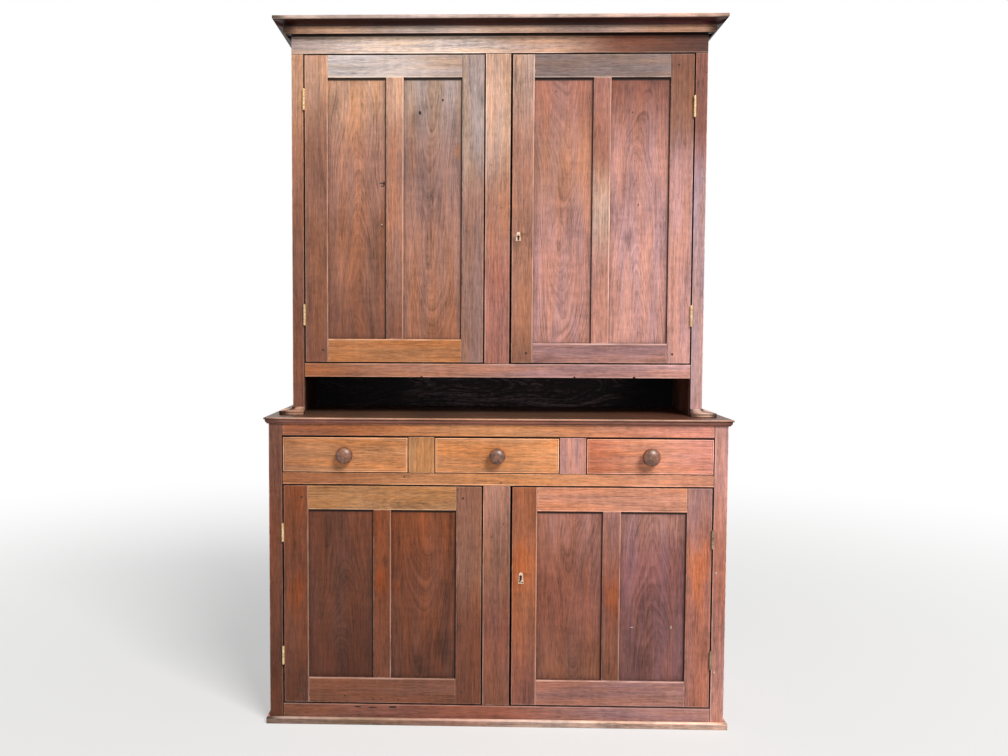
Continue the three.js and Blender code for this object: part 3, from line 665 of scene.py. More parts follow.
def timber(name, lo, hi, along, shades, body="case", slot="walnut", sawn="rift", stands_for=(),
           arris=ARRIS, window=None, nicks=(), edges=("", "", "", ""), dim=None, blot=None, glow=None):
    """A sawn board between two corners, with rounded, uneven arrises, swept along its grain.

    window is (low, high, left, right) of a hole through the face, nicks are (corner, place, reach)
    bitten out of an arris, all from the board's low end and centre line. edges names the borders at
    the face's low, high, start and end edges. dim is (face, low, high) of a face in the dark. blot
    and glow are (x, z, radius) of a dark and a fiery patch.
    """
    axis = "xyz".index(along)
    others = sorted((i for i in range(3) if i != axis), key=lambda i: lo[i] - hi[i])
    order = (axis, *others)
    size = [hi[i] - lo[i] for i in order]
    middle = [(hi[i] + lo[i]) / 2 for i in order]
    seed = fresh_seed()
    length = size[0]
    steps = max(2, round(length / STATION))
    marks = {round(arris + (length - 2 * arris) * k / steps, 6) for k in range(steps + 1)}
    marks |= {d * MM for d, _ in BORDERS[edges[2]][1:] if d * MM > arris}
    marks |= {length - d * MM for d, _ in BORDERS[edges[3]][1:] if d * MM > arris}
    if window:
        marks = {m for m in marks if not window[0] - WINDOW_CLEAR < m < window[1] + WINDOW_CLEAR}
        marks |= {window[0], window[1]}
    if dim:
        steps = [end + side * DIM_STEP for end in dim[1:] for side in (-1, 1)]
        marks |= {m for m in steps if arris < m < length - arris}
    for _, at, reach in nicks:
        marks |= {round(at + reach * k, 6) for k in (-1.1, -0.5, 0.0, 0.5, 1.1)}
    marks = sorted(marks)
    runs = [(arris * far, arris * inset) for far, inset in ENDS[:-1]]
    stations = runs + [(m, 0.0) for m in marks] + [(length - far, inset) for far, inset in reversed(runs)]
    points, places, tints, painted_light_and_wear = [], [], [], []

    def add(u, v, w, wear_and_light=0.0):
        place = (u - length / 2, v, w)
        spot = [0.0, 0.0, 0.0]
        for i, value, centre in zip(order, place, middle):
            spot[i] = value + centre
        points.append(spot)
        places.append(place)
        tints.append(blended(shades, u / length))
        painted_light_and_wear.append(wear_and_light)

    def face_light_and_wear(at, v, corner):
        from_low = 0.0 if corner == 2 else v + size[1] / 2
        from_high = 0.0 if corner == 3 else size[1] / 2 - v
        wear_and_light = strongest((edge_light_and_wear(edges[0], from_low), edge_light_and_wear(edges[1], from_high),
                          edge_light_and_wear(edges[2], at), edge_light_and_wear(edges[3], length - at)))
        return wear_and_light * (RUB_AND_LIGHT_MEAN + RUB_AND_LIGHT_SWING * wander(RUB_AND_LIGHT_TURNS, at, seed)) if wear_and_light > 0 else wear_and_light

    for at, inset in stations:
        bites = [0.0] * 4
        for corner, spot, reach in nicks:
            if abs(at - spot) < reach:
                bites[corner] = reach * NICK_DEPTH * (1 - abs(at - spot) / reach)
        sway = [wander(ARRIS_TURNS, at + c * CORNER_APART, seed) for c in range(4)]
        radii = [arris * (ARRIS_MEAN + ARRIS_SWING * sway[c]) + bites[c] for c in range(4)]
        for v, w, side, corner in cross_section(size[1], size[2], inset, radii, *edges[:2]):
            # Sides and ends take dark joints and painted shade in gaps; the face takes its borders' painted
            # light
            if side:
                wear_and_light = side_dirt_and_shade(edges[0] if side < 0 else edges[1], corner)
            elif corner in (0, 1):
                wear_and_light = 0.0
            elif inset:
                wear_and_light = END_DARK if edges[2 if at < length / 2 else 3] else 0.0
            else:
                wear_and_light = face_light_and_wear(at, v, corner)
            if corner is not None and bites[corner]:
                wear_and_light = min(wear_and_light, -bites[corner] * NICK_DIRT)
            # A face that lies in the dark is painted with shade
            if dim and corner is not None and CORNERS[corner][1] == dim[0] and dim[1] < at < dim[2]:
                wear_and_light = DIM_SHADE
            add(at, v, w, max(wear_and_light, -1.0))
    ring = len(points) // len(stations)
    faces = [tuple(range(ring)), tuple(range(len(points) - ring, len(points)))]
    for s in range(len(stations) - 1):
        low, high = s * ring, (s + 1) * ring
        holed = window and stations[s][0] == window[0]
        for k in range(ring):
            after = (k + 1) % ring
            if holed and k in (ARC - 1, 3 * ARC + len(BORDERS[edges[0]][1:])):
                depth = (1 if k == ARC - 1 else -1) * size[2] / 2
                first = len(points)
                near, far = window[:1:-1] if depth > 0 else window[2:]
                for u, v in ((window[0], near), (window[0], far), (window[1], far), (window[1], near)):
                    add(u, v, depth)
                outer = (low + k, low + after, high + after, high + k)
                for j in range(4):
                    faces.append((outer[j], outer[(j + 1) % 4], first + (j + 1) % 4, first + j))
            else:
                faces.append((low + k, low + after, high + after, high + k))
        if holed:
            back, front = len(points) - 8, len(points) - 4
            pairs = ((0, 1), (1, 0), (2, 3), (3, 2))
            for (a, d), (b, c) in zip(pairs, pairs[1:] + pairs[:1]):
                faces.append((back + a, back + b, front + c, front + d))
    mirror = CHANCE.choice((-1, 1))
    heart = SAWN[sawn]
    heart = (heart[0] * mirror, heart[1], heart[2] * CHANCE.choice((-1, 1)))
    halves = [s / 2 for s in size]
    patches = {}
    for label, patch in (("blot", blot), ("glow", glow)):
        if patch:
            world = {0: patch[0] * MM, 1: 0.0, 2: patch[1] * MM}
            patches[label] = (world[order[0]] - middle[0], world[order[1]] - middle[1], patch[2] * MM)
    mesh = wood_mesh(name, points, faces, places, halves, seed, heart, tints, painted_light_and_wear, patches)
    return piece(name, mesh, body, slot, None, stands_for)


def board(node, along, shades, **settings):
    """The board that stands for one node, in that node's own box."""
    lo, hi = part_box(node)
    settings.setdefault("stands_for", (node,))
    return timber(f"{node}_board", lo, hi, along, shades, **settings)


# Case boards
def case_boards():
    """The boards of both cases that face the front."""
    # Each row of shades runs along its board, and its grey and pink stretches stand partly for the window's
    # and highlights on the arrises
    # sheen on the finish, a painted reflection. The borders paint shade in the gaps and under the crown,
    upright = (
        ("base_stile_left", ("bark", "bark", "cocoa", "clove"), ("", "gap")),
        ("base_stile_right", ("petal", "brick", "rose"), ("bright gap", "")),
        ("base_mullion", ("clove", "umber", "russet", "clay"), ("bright gap", "gap")),
        ("upper_stile_left", ("clove", "clove", "russet", "fawn"), ("", "gap")),
        ("upper_stile_right", ("mauve", "mauve", "mauve", "mauve", "umber", "umber"), ("gap", "")),
        ("upper_mullion", ("brick", "brick", "clay", "shell", "shell"), ("bright gap", "gap")),
        ("drawer_divider_left", ("straw", "straw"), ("gap", "gap")),
        ("drawer_divider_right", ("petal", "petal"), ("gap", "gap")),
    )
    for node, shades, sides in upright:
        board(node, "z", shades, edges=(*sides, "joint", "joint"))
    level = (
        ("base_bottom_rail", ("clove", "umber", "umber", "rosewood", "rosewood"), ("", "bright gap")),
        ("base_middle_rail", ("toffee", "honey", "peach"), ("bright gap", "joint")),
        ("base_top_rail", ("copper", "honey", "coral"), ("deep gap", "")),
        ("frieze_rail", ("ash", "bone", "bone", "shell", "cocoa", "peat"), ("bright gap", "under crown")),
    )
    for node, shades, sides in level:
        board(node, "x", shades, edges=(*sides, "joint", "joint"))
    lo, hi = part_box("upper_bottom_rail")
    nicks = [(2, x * MM - lo.x, reach * MM) for x, reach in ((-232, 4), (240, 5), (423, 6))]
    board("upper_bottom_rail", "x", ("toffee", "clay", "rosewood", "rose"), nicks=nicks,
          edges=("lit", "bright gap", "joint", "joint"))


def planks(node, along, across, count, shades, row=None, first=None, seam=SEAM, **settings):
    """Boards edge to edge in place of one wide node, in chance shades.

    A given row of shades is for the first board, and the others take the first of it. first is
    the first board's own width, and seam the space between two boards.
    """
    lo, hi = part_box(node)
    side = "xyz".index(across)
    room = hi[side] - lo[side]
    cuts = [lo[side] + room * (k + (CHANCE.uniform(-0.14, 0.14) if 0 < k < count else 0)) / count
            for k in range(count + 1)]
    if first:
        cuts[1] = lo[side] + first
    for k in range(count):
        low, high = Vector(lo), Vector(hi)
        low[side] = cuts[k] + (seam / 2 if k else 0)
        high[side] = cuts[k + 1] - (seam / 2 if k < count - 1 else 0)
        tones = (row if k == 0 else row[:1] * 2) if row else [CHANCE.choice(shades) for _ in range(3)]
        edges = ("joint" if k else "", "joint" if k < count - 1 else "", "", "")
        timber(f"{node}_{k + 1}", low, high, along, tones, stands_for=(node,), edges=edges, **settings)


def carcass():
    """The sides, backs, bottoms and shelves of both cases."""
    planks("base_side_left", "z", "y", 2, ("bark", "cocoa", "clove"), sawn="plain")
    planks("base_side_right", "z", "y", 2, ("umber", "russet", "brick"), sawn="plain")
    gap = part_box("upper_bottom")[0].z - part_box("upper_side_left")[0].z
    # The inner faces of the upper sides are painted dark in the gap, for the shade that lies there
    planks("upper_side_left", "z", "y", 2, ("cocoa", "clove", "umber"), sawn="plain", dim=(1, 0.0, gap))
    planks("upper_side_right", "z", "y", 2, ("russet", "brick", "clay"), sawn="plain", dim=(-1, 0.0, gap))
    # The lowest back board, seen in the gap: darker at the left, lighter in the middle and near black at
    # the right, as painted light and a painted shadow
    seen_in_gap = ("soot",) * 3 + ("slag",) * 5 + ("ink",) * 2
    planks("upper_back", "x", "z", 6, (), seen_in_gap, first=gap + 8 * MM, seam=0.0,
           slot="stained_back", sawn="flat", arris=1.0 * MM)
    pale = (("base_back", "z", 4), ("base_bottom", "y", 2), ("base_shelf", "y", 2),
            ("upper_bottom", "y", 2), ("upper_shelf", "y", 2))
    for node, across, count in pale:
        planks(node, "x", across, count, ("pine", "pine", "barn"), slot="secondary_wood", sawn="flat")


def drawer_deck():
    """The deck that the drawers run on, with the strips that guide them."""
    lo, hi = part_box("drawer_deck")
    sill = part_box("base_middle_rail")[1].z
    timber("drawer_deck_board", lo, (hi.x, hi.y, sill), "x", ("pine", "barn"), slot="secondary_wood",
           sawn="flat", stands_for=("drawer_deck",))
    for side, divider in (("left", "drawer_divider_left"), ("right", "drawer_divider_right")):
        near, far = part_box(divider)
        timber(f"guide_{side}_inner", (near.x + SEAM, lo.y, sill + SEAM), (far.x - SEAM, hi.y, hi.z), "y",
               ("pine", "barn"), slot="secondary_wood", stands_for=("drawer_deck",))
        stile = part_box(f"base_stile_{side}")
        low, high = (lo.x, stile[1].x) if side == "left" else (stile[0].x, hi.x)
        timber(f"guide_{side}_outer", (low, lo.y, sill + SEAM), (high, hi.y, hi.z), "y",
               ("barn", "pine"), slot="secondary_wood", stands_for=("drawer_deck",))


# Mouldings
def bend(reach, drop, across, down, start, end, wear_and_light=0.0, tone=1.0, steps=8):
    """Points on part of an ellipse round a centre, from one angle to the other in degrees."""
    points = []
    for k in range(steps + 1):
        turn = math.radians(start + (end - start) * k / steps)
        points.append((reach + across * math.cos(turn), drop + down * math.sin(turn), wear_and_light, tone))
    return points


# Profiles from the top down, as (reach out, drop, wear and light, tone) in millimetres. A tone is a
# factor on the shades of the run, or a shade or a row of shades of its own. Tones and light are mostly
# painted: noses and upward faces lighter as painted highlights, and undersides, quirks and the corners
# against the case darker as painted shade.
LEDGE_EDGE = (
    (3.0, 0.0, 0.0, 1.0),
    (10.4, 0.05, 0.2, 1.2),
    *bend(10.8, 2.2, 2.2, 2.2, -80, -10, 0.2, "fawn", 4),
    (13.0, 3.4, 0.2, "clay"),
    (13.0, 5.0, 0.1, "clove"),
    (12.4, 6.0, -0.5, "bark"),
    (9.7, 6.2, -0.7, "bark"),
    *bend(4.5, 8.0, 5.0, 8.5, 0, 60, 0.1, "umber", 5),
    (5.6, 16.4, -0.6, "bark"),
    (5.0, 17.0, 0.1, "russet"),
    (4.9, 18.6, 0.0, "umber"),
    (4.5, 19.0, -0.4, "bark"),
)
CAP_EDGE = (
    *bend(46.8, 2.2, 2.2, 2.2, -90, 0, 0.5, 1.0, 4),
    *bend(46.8, 8.8, 2.2, 2.2, 0, 90, 0.3, 1.0, 4),
    (30.0, 11.0, -0.3, 0.3),
)
# The cove's dark red stands partly for the shade under the cap, a painted shade
COVE = ("oxblood", "oxblood", "oxblood", "wine")
CROWN = (
    (0.3, 0.3, 0.0, COVE),
    (45.4, 0.3, -0.4, COVE),
    (46.0, 0.8, -0.7, COVE),
    (45.9, 2.0, 0.0, COVE),
    *bend(46.0, 13.0, 27.0, 11.0, -92, -176, 0.0, COVE, 12),
    *bend(14.5, 23.5, 6.0, 10.5, -40, 60, 0.1, 1.0, 8),
    *bend(14.5, 23.5, 6.0, 10.5, 68, 82, 0.6, 1.6, 2),
    (15.0, 34.2, -0.9, COVE),
    (14.2, 36.0, -0.9, COVE),
    (0.3, 36.0, -0.9, COVE),
)
FOOT = (
    (0.3, 0.0, -0.8, 0.5),
    (1.5, 0.0, 0.2, 1.1),
    *bend(6.0, 4.0, 4.0, 4.0, -90, 0, 0.55, 1.4, 5),
    (10.0, 5.5, 0.1, 0.9),
    (10.0, 13.0, 0.0, 0.8),
    (9.8, 19.0, 0.15, 0.9),
    (9.2, 21.0, 0.3, 0.8),
    (0.3, 21.0, 0.0, 0.6),
)
WAIST = (
    (0.3, 0.0, -0.8, 0.6),
    (2.6, 0.0, 0.4, 1.2),
    (3.0, 0.6, 0.6, 1.3),
    (3.0, 2.0, -0.3, 0.7),
    *bend(36.0, 2.0, 33.0, 8.0, 180, 92, 0.2, 0.95, 10),
    (36.0, 10.2, 0.6, 1.2),
    (36.0, 12.0, 0.0, 0.7),
    (36.0, 17.0, 0.0, 0.6),
    (36.0, 18.5, 0.6, 1.2),
    (35.8, 21.0, 0.0, 0.8),
    (35.4, 21.7, -0.7, 0.6),
    (0.3, 21.7, -0.4, 0.6),
)
# The least that a profile stands out from the face, in millimetres
LEAST_REACH = 0.3
# Half sizes so large that a moulding's wear and painted light come from its profile alone
FREE = (1.0, 1.0, 1.0)
# How the tone varies along a moulding: its swing, and turns to a metre
TONE_SWING, TONE_TURNS = 0.35, 9


def toned(shades, tone, seed, share, length):
    """The board's tint times a tone, or the tint of an edge with shades of its own, a little uneven. The
    tones paint highlights and shade on a profile.
    """
    uneven = 1 + TONE_SWING * wander(TONE_TURNS, share * length, seed)
    if isinstance(tone, float):
        own = [c * tone for c in blended(shades, share)]
    else:
        own = blended(tone if isinstance(tone, tuple) else (tone,), share)
    return [c * uneven for c in own]


def rubbed_back(wear_and_light, depth, turns, place, seed):
    """How far rubbing has moved an edge at a place along it, in millimetres, never outwards."""
    return min(max(wear_and_light, 0.0) * depth * (wander(turns, place, seed) - 0.45), 0.0)


def moulding(name, profile, start, end, out, top, shades, mitres=(0, 0), slot="walnut", stands_for=()):
    """A moulding run along a face, cut square or mitred outwards at each end."""
    start, end, out = Vector(start), Vector(end), Vector(out)
    run = end - start
    length = run.length
    along = run / length
    seed = fresh_seed()
    steps = max(2, round(length / STATION))
    points, places, tints, painted_light_and_wear = [], [], [], []
    for s in range(steps + 1):
        t = s / steps
        for k, (reach, drop, wear_and_light, tone) in enumerate(profile):
            reach += rubbed_back(wear_and_light, 0.35, 22, length * t + k * 0.002, seed)
            reach = max(reach, LEAST_REACH) * MM
            slide = reach * (mitres[1] * t - mitres[0] * (1 - t))
            spot = start + along * (length * t + slide) + out * reach
            points.append((spot.x, spot.y, top - drop * MM))
            places.append((length * (t - 0.5) + slide, -drop * MM, reach))
            tints.append(toned(shades, tone, seed, t, length))
            painted_light_and_wear.append(wear_and_light)
    count = len(profile)
    faces = [tuple(range(count)), tuple(range(steps * count, (steps + 1) * count))]
    faces += ring_faces(steps + 1, count)
    mesh = wood_mesh(name, points, faces, places, FREE, seed, SAWN["rift"], tints, painted_light_and_wear)
    return piece(name, mesh, "case", slot, None, stands_for)


def three_sides(node, profile, half, front, back, top, shades, slot="walnut"):
    """A moulding round a case in three lengths, mitred at the front corners."""
    left, right = Vector((-half, front)), Vector((half, front))
    runs = (
        ("front", left, right, (0, -1), (1, 1)),
        ("left", (-half, back), left, (-1, 0), (0, 1)),
        ("right", right, (half, back), (1, 0), (1, 0)),
    )
    for (side, start, end, out, mitres), tones in zip(runs, shades):
        moulding(f"{node}_{side}", profile, start, end, out, top, tones, mitres, slot, (node,))


def stacked_faces(levels, steps):
    """Faces of a block built up in levels, each with two rows of points that many steps long."""
    row = steps + 1
    ring = 2 * row
    loop = [*range(row), *range(ring - 1, row - 1, -1)]
    faces = []
    for k in range(levels - 1):
        for a, b in zip(loop, loop[1:] + loop[:1]):
            faces.append((k * ring + a, k * ring + b, (k + 1) * ring + b, (k + 1) * ring + a))
    for base in (0, (levels - 1) * ring):
        for s in range(steps):
            faces.append((base + s, base + s + 1, base + row + s + 1, base + row + s))
    return faces


def moulded_top(node, profile, half, front, back, top, shades, slot="walnut"):
    """A wide board whose front and two ends carry a moulded edge."""
    seed = fresh_seed()
    steps = 24
    points, places, tints, painted_light_and_wear = [], [], [], []
    for k, (reach, drop, wear_and_light, tone) in enumerate(profile):
        for row in (0, 1):
            for s in range(steps + 1):
                out = (reach + rubbed_back(wear_and_light, 0.5, 18, s * 0.06 + k * 0.002, seed)) * MM
                x = (half + out) * (2 * s / steps - 1)
                y = back - 0.02 * MM * k if row else front - out
                points.append((x, y, top - drop * MM))
                places.append((x, y - (front + back) / 2, -drop * MM))
                tints.append(toned(shades, tone, seed, s / steps, 2 * half))
                painted_light_and_wear.append(wear_and_light if row == 0 or s in (0, steps) else 0.0)
    faces = stacked_faces(len(profile), steps)
    mesh = wood_mesh(f"{node}_board", points, faces, places, FREE, seed, SAWN["plain"], tints, painted_light_and_wear)
    return piece(f"{node}_board", mesh, "case", slot, None, (node,))


def mouldings():
    """The ledge, the cap board and the mouldings at the foot, waist and top."""
    base_lo, base_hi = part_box("base_stile_left")[0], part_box("base_stile_right")[1]
    upper_lo, upper_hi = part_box("frieze_rail")
    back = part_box("base_back")[1].y
    moulded_top("ledge_top", LEDGE_EDGE, base_hi.x, base_lo.y, back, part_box("ledge_top")[1].z,
                ("tar", "tar", "tar", "bark"))
    moulded_top("cap_board", CAP_EDGE, upper_hi.x, upper_lo.y, back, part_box("cap_board")[1].z,
                ("ash", "ash", "shell"), "dark_walnut")
    foot = ("slate", "driftwood", "dusk", "ash", "shell", "shell")
    three_sides("base_moulding", FOOT, base_hi.x, base_lo.y, back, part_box("base_moulding")[1].z,
                (foot, ("cocoa", "umber"), ("dusk", "umber")), "dark_walnut")
    crown = ("biscuit", "chalk", "shell", "fawn")
    three_sides("cornice", CROWN, upper_hi.x, upper_lo.y, back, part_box("cap_board")[0].z,
                (crown, ("cocoa", "clove"), ("clay", "russet")))
    for side, sign in (("left", -1), ("right", 1)):
        node = f"waist_moulding_{side}"
        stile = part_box(f"upper_stile_{side}")
        inner = stile[1].x if sign < 0 else stile[0].x
        outer = sign * upper_hi.x
        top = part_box(node)[1].z
        shades = ("fawn", "clay") if sign < 0 else ("shell", "shell")
        near, corner, far = (inner, upper_lo.y), (outer, upper_lo.y), (outer, back)
        for run, start, end, out, mitres in (("front", near, corner, (0, -1), (0, 1)),
                                             ("return", corner, far, (sign, 0), (1, 0))):
            moulding(f"{node}_{run}", WAIST, start, end, out, top, shades, mitres, stands_for=(node,))


# Small solids, as points and faces
def turned(profile, centre, axis, sides):
    """A lathe form round an axis, 'z' or '-y', from (radius, reach) points."""
    points = []
    for radius, reach in profile:
        for k in range(sides):
            turn = math.tau * k / sides
            a, b = radius * math.cos(turn), radius * math.sin(turn)
            offset = (a, b, reach) if axis == "z" else (a, -reach, b)
            points.append(tuple(c + o for c, o in zip(centre, offset)))
    faces = ring_faces(len(profile), sides)
    faces.append(tuple(range(sides)))
    faces.append(tuple(range((len(profile) - 1) * sides, len(profile) * sides)))
    return points, faces


def plate(lo, hi):
    """A block with eased edges."""
    solid = bmesh.new()
    bmesh.ops.create_cube(solid, size=1.0)
    size = [h - l for l, h in zip(lo, hi)]
    middle = [(h + l) / 2 for l, h in zip(lo, hi)]
    for v in solid.verts:
        v.co = Vector(m + c * s for m, c, s in zip(middle, v.co, size))
    bmesh.ops.bevel(solid, geom=solid.edges[:], offset=SOFT_EDGE, segments=2, affect="EDGES")
    points = [tuple(v.co) for v in solid.verts]
    faces = [tuple(v.index for v in f.verts) for f in solid.faces]
    solid.free()
    return points, faces


def metal(name, solids, body, slot="brass", finish=None, stands_for=()):
    """One piece from several small solids."""
    points, faces = [], []
    for some, sides in solids:
        first = len(points)
        points += some
        faces += [tuple(first + i for i in side) for side in sides]
    mesh = bpy.data.meshes.new(name)
    mesh.from_pydata(points, [], faces)
    facing_out(mesh)
    return piece(name, mesh, body, slot, finish, stands_for)


def barrel(low, high, radius, dip, ease):
    """A lathe profile from low to high, its radius dipping at both eased ends."""
    return [(radius - dip, low), (radius, low + ease), (radius, high - ease), (radius - dip, high)]


# Half the section of a screw's head, as (radius, rise) in millimetres
SCREW_HEAD = ((0.4, 0.02), (3.1, 0.02), (3.3, 0.14), (2.9, 0.22), (0.7, 0.22), (0.5, 0.0))


def screw(x, y, z, sign):
    """The low domed head of a screw, on a leaf that faces along X."""
    head = [(radius * MM, rise * MM) for radius, rise in SCREW_HEAD]
    points, faces = turned(head, (0, 0, 0), "z", sides=20)
    return [(x + sign * p[2], y + p[0], z + p[1]) for p in points], faces


# Butt hinges, from the edge of the door and its face
KNUCKLES = 5
KNUCKLE_RADIUS = 4 * MM
KNUCKLE_GAP = 0.15 * MM
KNUCKLE_EASE = (0.4 * MM, 0.35 * MM)
PIN_OUT = 1.25 * MM
PIN_PROUD = 4.3 * MM
PIN_TIP = 1.6 * MM
PIN_RADIUS = 2.2 * MM
PIN_EASE = (0.3 * MM, 0.5 * MM)
LEAF_DEPTH = 17 * MM
LEAF_SUNK = 1.2 * MM
LEAF_CLEAR = 0.5 * MM
DOOR_GAP = 2.5 * MM
# The screws of a leaf, as (share of its height, millimetres behind the face)
SCREWS = ((0.17, 11), (0.5, 8), (0.83, 11))


def hinges():
    """Butt hinges: the case holds the outer and middle knuckles, the door the two between."""
    for door in ("upper_left", "upper_right", "lower_left", "lower_right"):
        sign = -1 if "left" in door else 1
        frame_lo, frame_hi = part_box(f"{door}_door_frame")
        face = frame_lo.y
        edge = frame_lo.x if sign < 0 else frame_hi.x
        for end in ("top", "bottom"):
            node = f"{door}_door_hinge_{end}"
            lo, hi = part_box(node)
            pin_x, pin_y = edge + sign * PIN_OUT, face - PIN_PROUD
            low, high = lo.z + PIN_TIP, hi.z - PIN_TIP
            pitch = (high - low) / KNUCKLES
            case, swinging = [], []
            for k in range(KNUCKLES):
                bottom = low + k * pitch
                form = barrel(bottom, bottom + pitch - KNUCKLE_GAP, KNUCKLE_RADIUS, *KNUCKLE_EASE)
                (swinging if k % 2 else case).append(turned(form, (pin_x, pin_y, 0), "z", sides=32))
            pin = barrel(lo.z, hi.z, PIN_RADIUS, *PIN_EASE)
            swinging.append(turned(pin, (pin_x, pin_y, 0), "z", sides=20))
            jamb = edge + sign * DOOR_GAP
            for root, turn, leaf in ((edge, sign, swinging), (jamb, -sign, case)):
                sunk, facing = root - turn * LEAF_SUNK, root + turn * LEAF_CLEAR
                near, far = sorted((sunk, facing))
                leaf.append(plate((near, pin_y, low), (far, face + LEAF_DEPTH, high)))
                for share, behind in SCREWS:
                    leaf.append(screw(facing, face + behind * MM, low + share * (high - low), turn))
            kind = "tarnish" if door == "lower_right" else "brass"
            metal(f"{node}_door_half", swinging, f"{door}_door", "brass", kind, (node,))
            metal(f"{node}_case_half", case, "case", "brass", kind)


# Doors
# Each row of shades runs along its board; the grey and pink stretches stand partly for the window's
# sheen on the finish, a painted reflection
DOORS = {
    "upper_left": {
        "hinge_stile": ("clove", "russet", "russet", "fawn"),
        "lock_stile": ("dusk", "dusk", "dusk", "ash", "ash"),
        "muntin": ("clove", "clay", "clay", "biscuit"),
        "top_rail": ("frost", "frost", "ash"),
        "bottom_rail": ("caramel", "caramel"),
        "panel_outer": ("clove", "russet", "clay", "biscuit"),
        "panel_inner": ("russet", "clay", "dusk", "ash"),
    },
    "upper_right": {
        "hinge_stile": ("rose", "rose", "rose", "rose", "russet", "clove"),
        "lock_stile": ("russet", "clay", "clay", "shell"),
        "muntin": ("petal", "petal", "shell", "briar", "briar"),
        "top_rail": ("slate", "slate"),
        "bottom_rail": ("rosewood", "rosewood"),
        "panel_outer": ("rose", "rose", "petal", "umber"),
        "panel_inner": ("petal", "petal", "clay", "briar"),
    },
    "lower_left": {
        "hinge_stile": ("bark", "cocoa", "chestnut"),
        "lock_stile": ("cocoa", "cocoa", "russet", "russet"),
        "muntin": ("cocoa", "chestnut"),
        "top_rail": ("straw", "straw", "straw"),
        "bottom_rail": ("clove", "clove"),
        "panel_outer": ("peat", "bark", "cocoa"),
        "panel_inner": ("bark", "cocoa", "chestnut"),
    },
    "lower_right": {
        "hinge_stile": ("brick", "brick", "brick", "rosewood"),
        "lock_stile": ("umber", "copper", "copper"),
        "muntin": ("clove", "umber", "briar"),
        "top_rail": ("peach", "peach"),
        "bottom_rail": ("briar", "rosewood"),
        "panel_outer": ("plum", "plum", "mulberry", "rosewood"),
        "panel_inner": ("clove", "umber", "briar"),
    },
}
# Dark blotches and fiery patches, each as x, z and radius in millimetres
PATCHES = {
    "upper_left panel_inner": {"blot": (-250, 1840, 12), "glow": (-125, 1740, 10)},
    "upper_left panel_outer": {"blot": (-500, 1890, 20)},
    "upper_left lock_stile": {"blot": (-50, 1900, 16)},
    "upper_right panel_outer": {"blot": (400, 1480, 12)},
    "upper_right lock_stile": {"blot": (58, 1462, 10)},
    "lower_left hinge_stile": {"glow": (-605, 400, 22)},
    "lower_left muntin": {"glow": (-345, 440, 16), "blot": (-335, 500, 8)},
    "lower_left panel_outer": {"blot": (-500, 600, 24)},
    "lower_left panel_inner": {"blot": (-160, 240, 20), "glow": (-300, 420, 12)},
    "lower_right lock_stile": {"glow": (76, 495, 30)},
    "lower_right hinge_stile": {"glow": (598, 485, 36)},
    "lower_right panel_outer": {"blot": (430, 200, 30)},
    "lower_right muntin": {"glow": (352, 392, 26)},
}
# The room round a panel between the edges of its frame's groove
PANEL_CLEAR = 0.25 * MM
# The opening in a lock stile: its rise to the head of the keyhole plate, where the key turns from
# the corner of the lock's case, and how far the opening reaches aside and down
KEY_HEAD_RISE = {"upper": 8 * MM, "lower": 6.5 * MM}
CASE_BEYOND_KEY = 20 * MM
CASE_ABOVE_KEY = 30 * MM
KEYWAY_HALF = 3.5 * MM
KEYWAY_DROP = 9.7 * MM


def key_place(door):
    """The head of the keyhole plate, across and up, from the lock behind the stile."""
    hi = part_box(f"{door}_door_lock")[1]
    return hi.x - CASE_BEYOND_KEY, hi.z - CASE_ABOVE_KEY + KEY_HEAD_RISE[door.split("_")[0]]


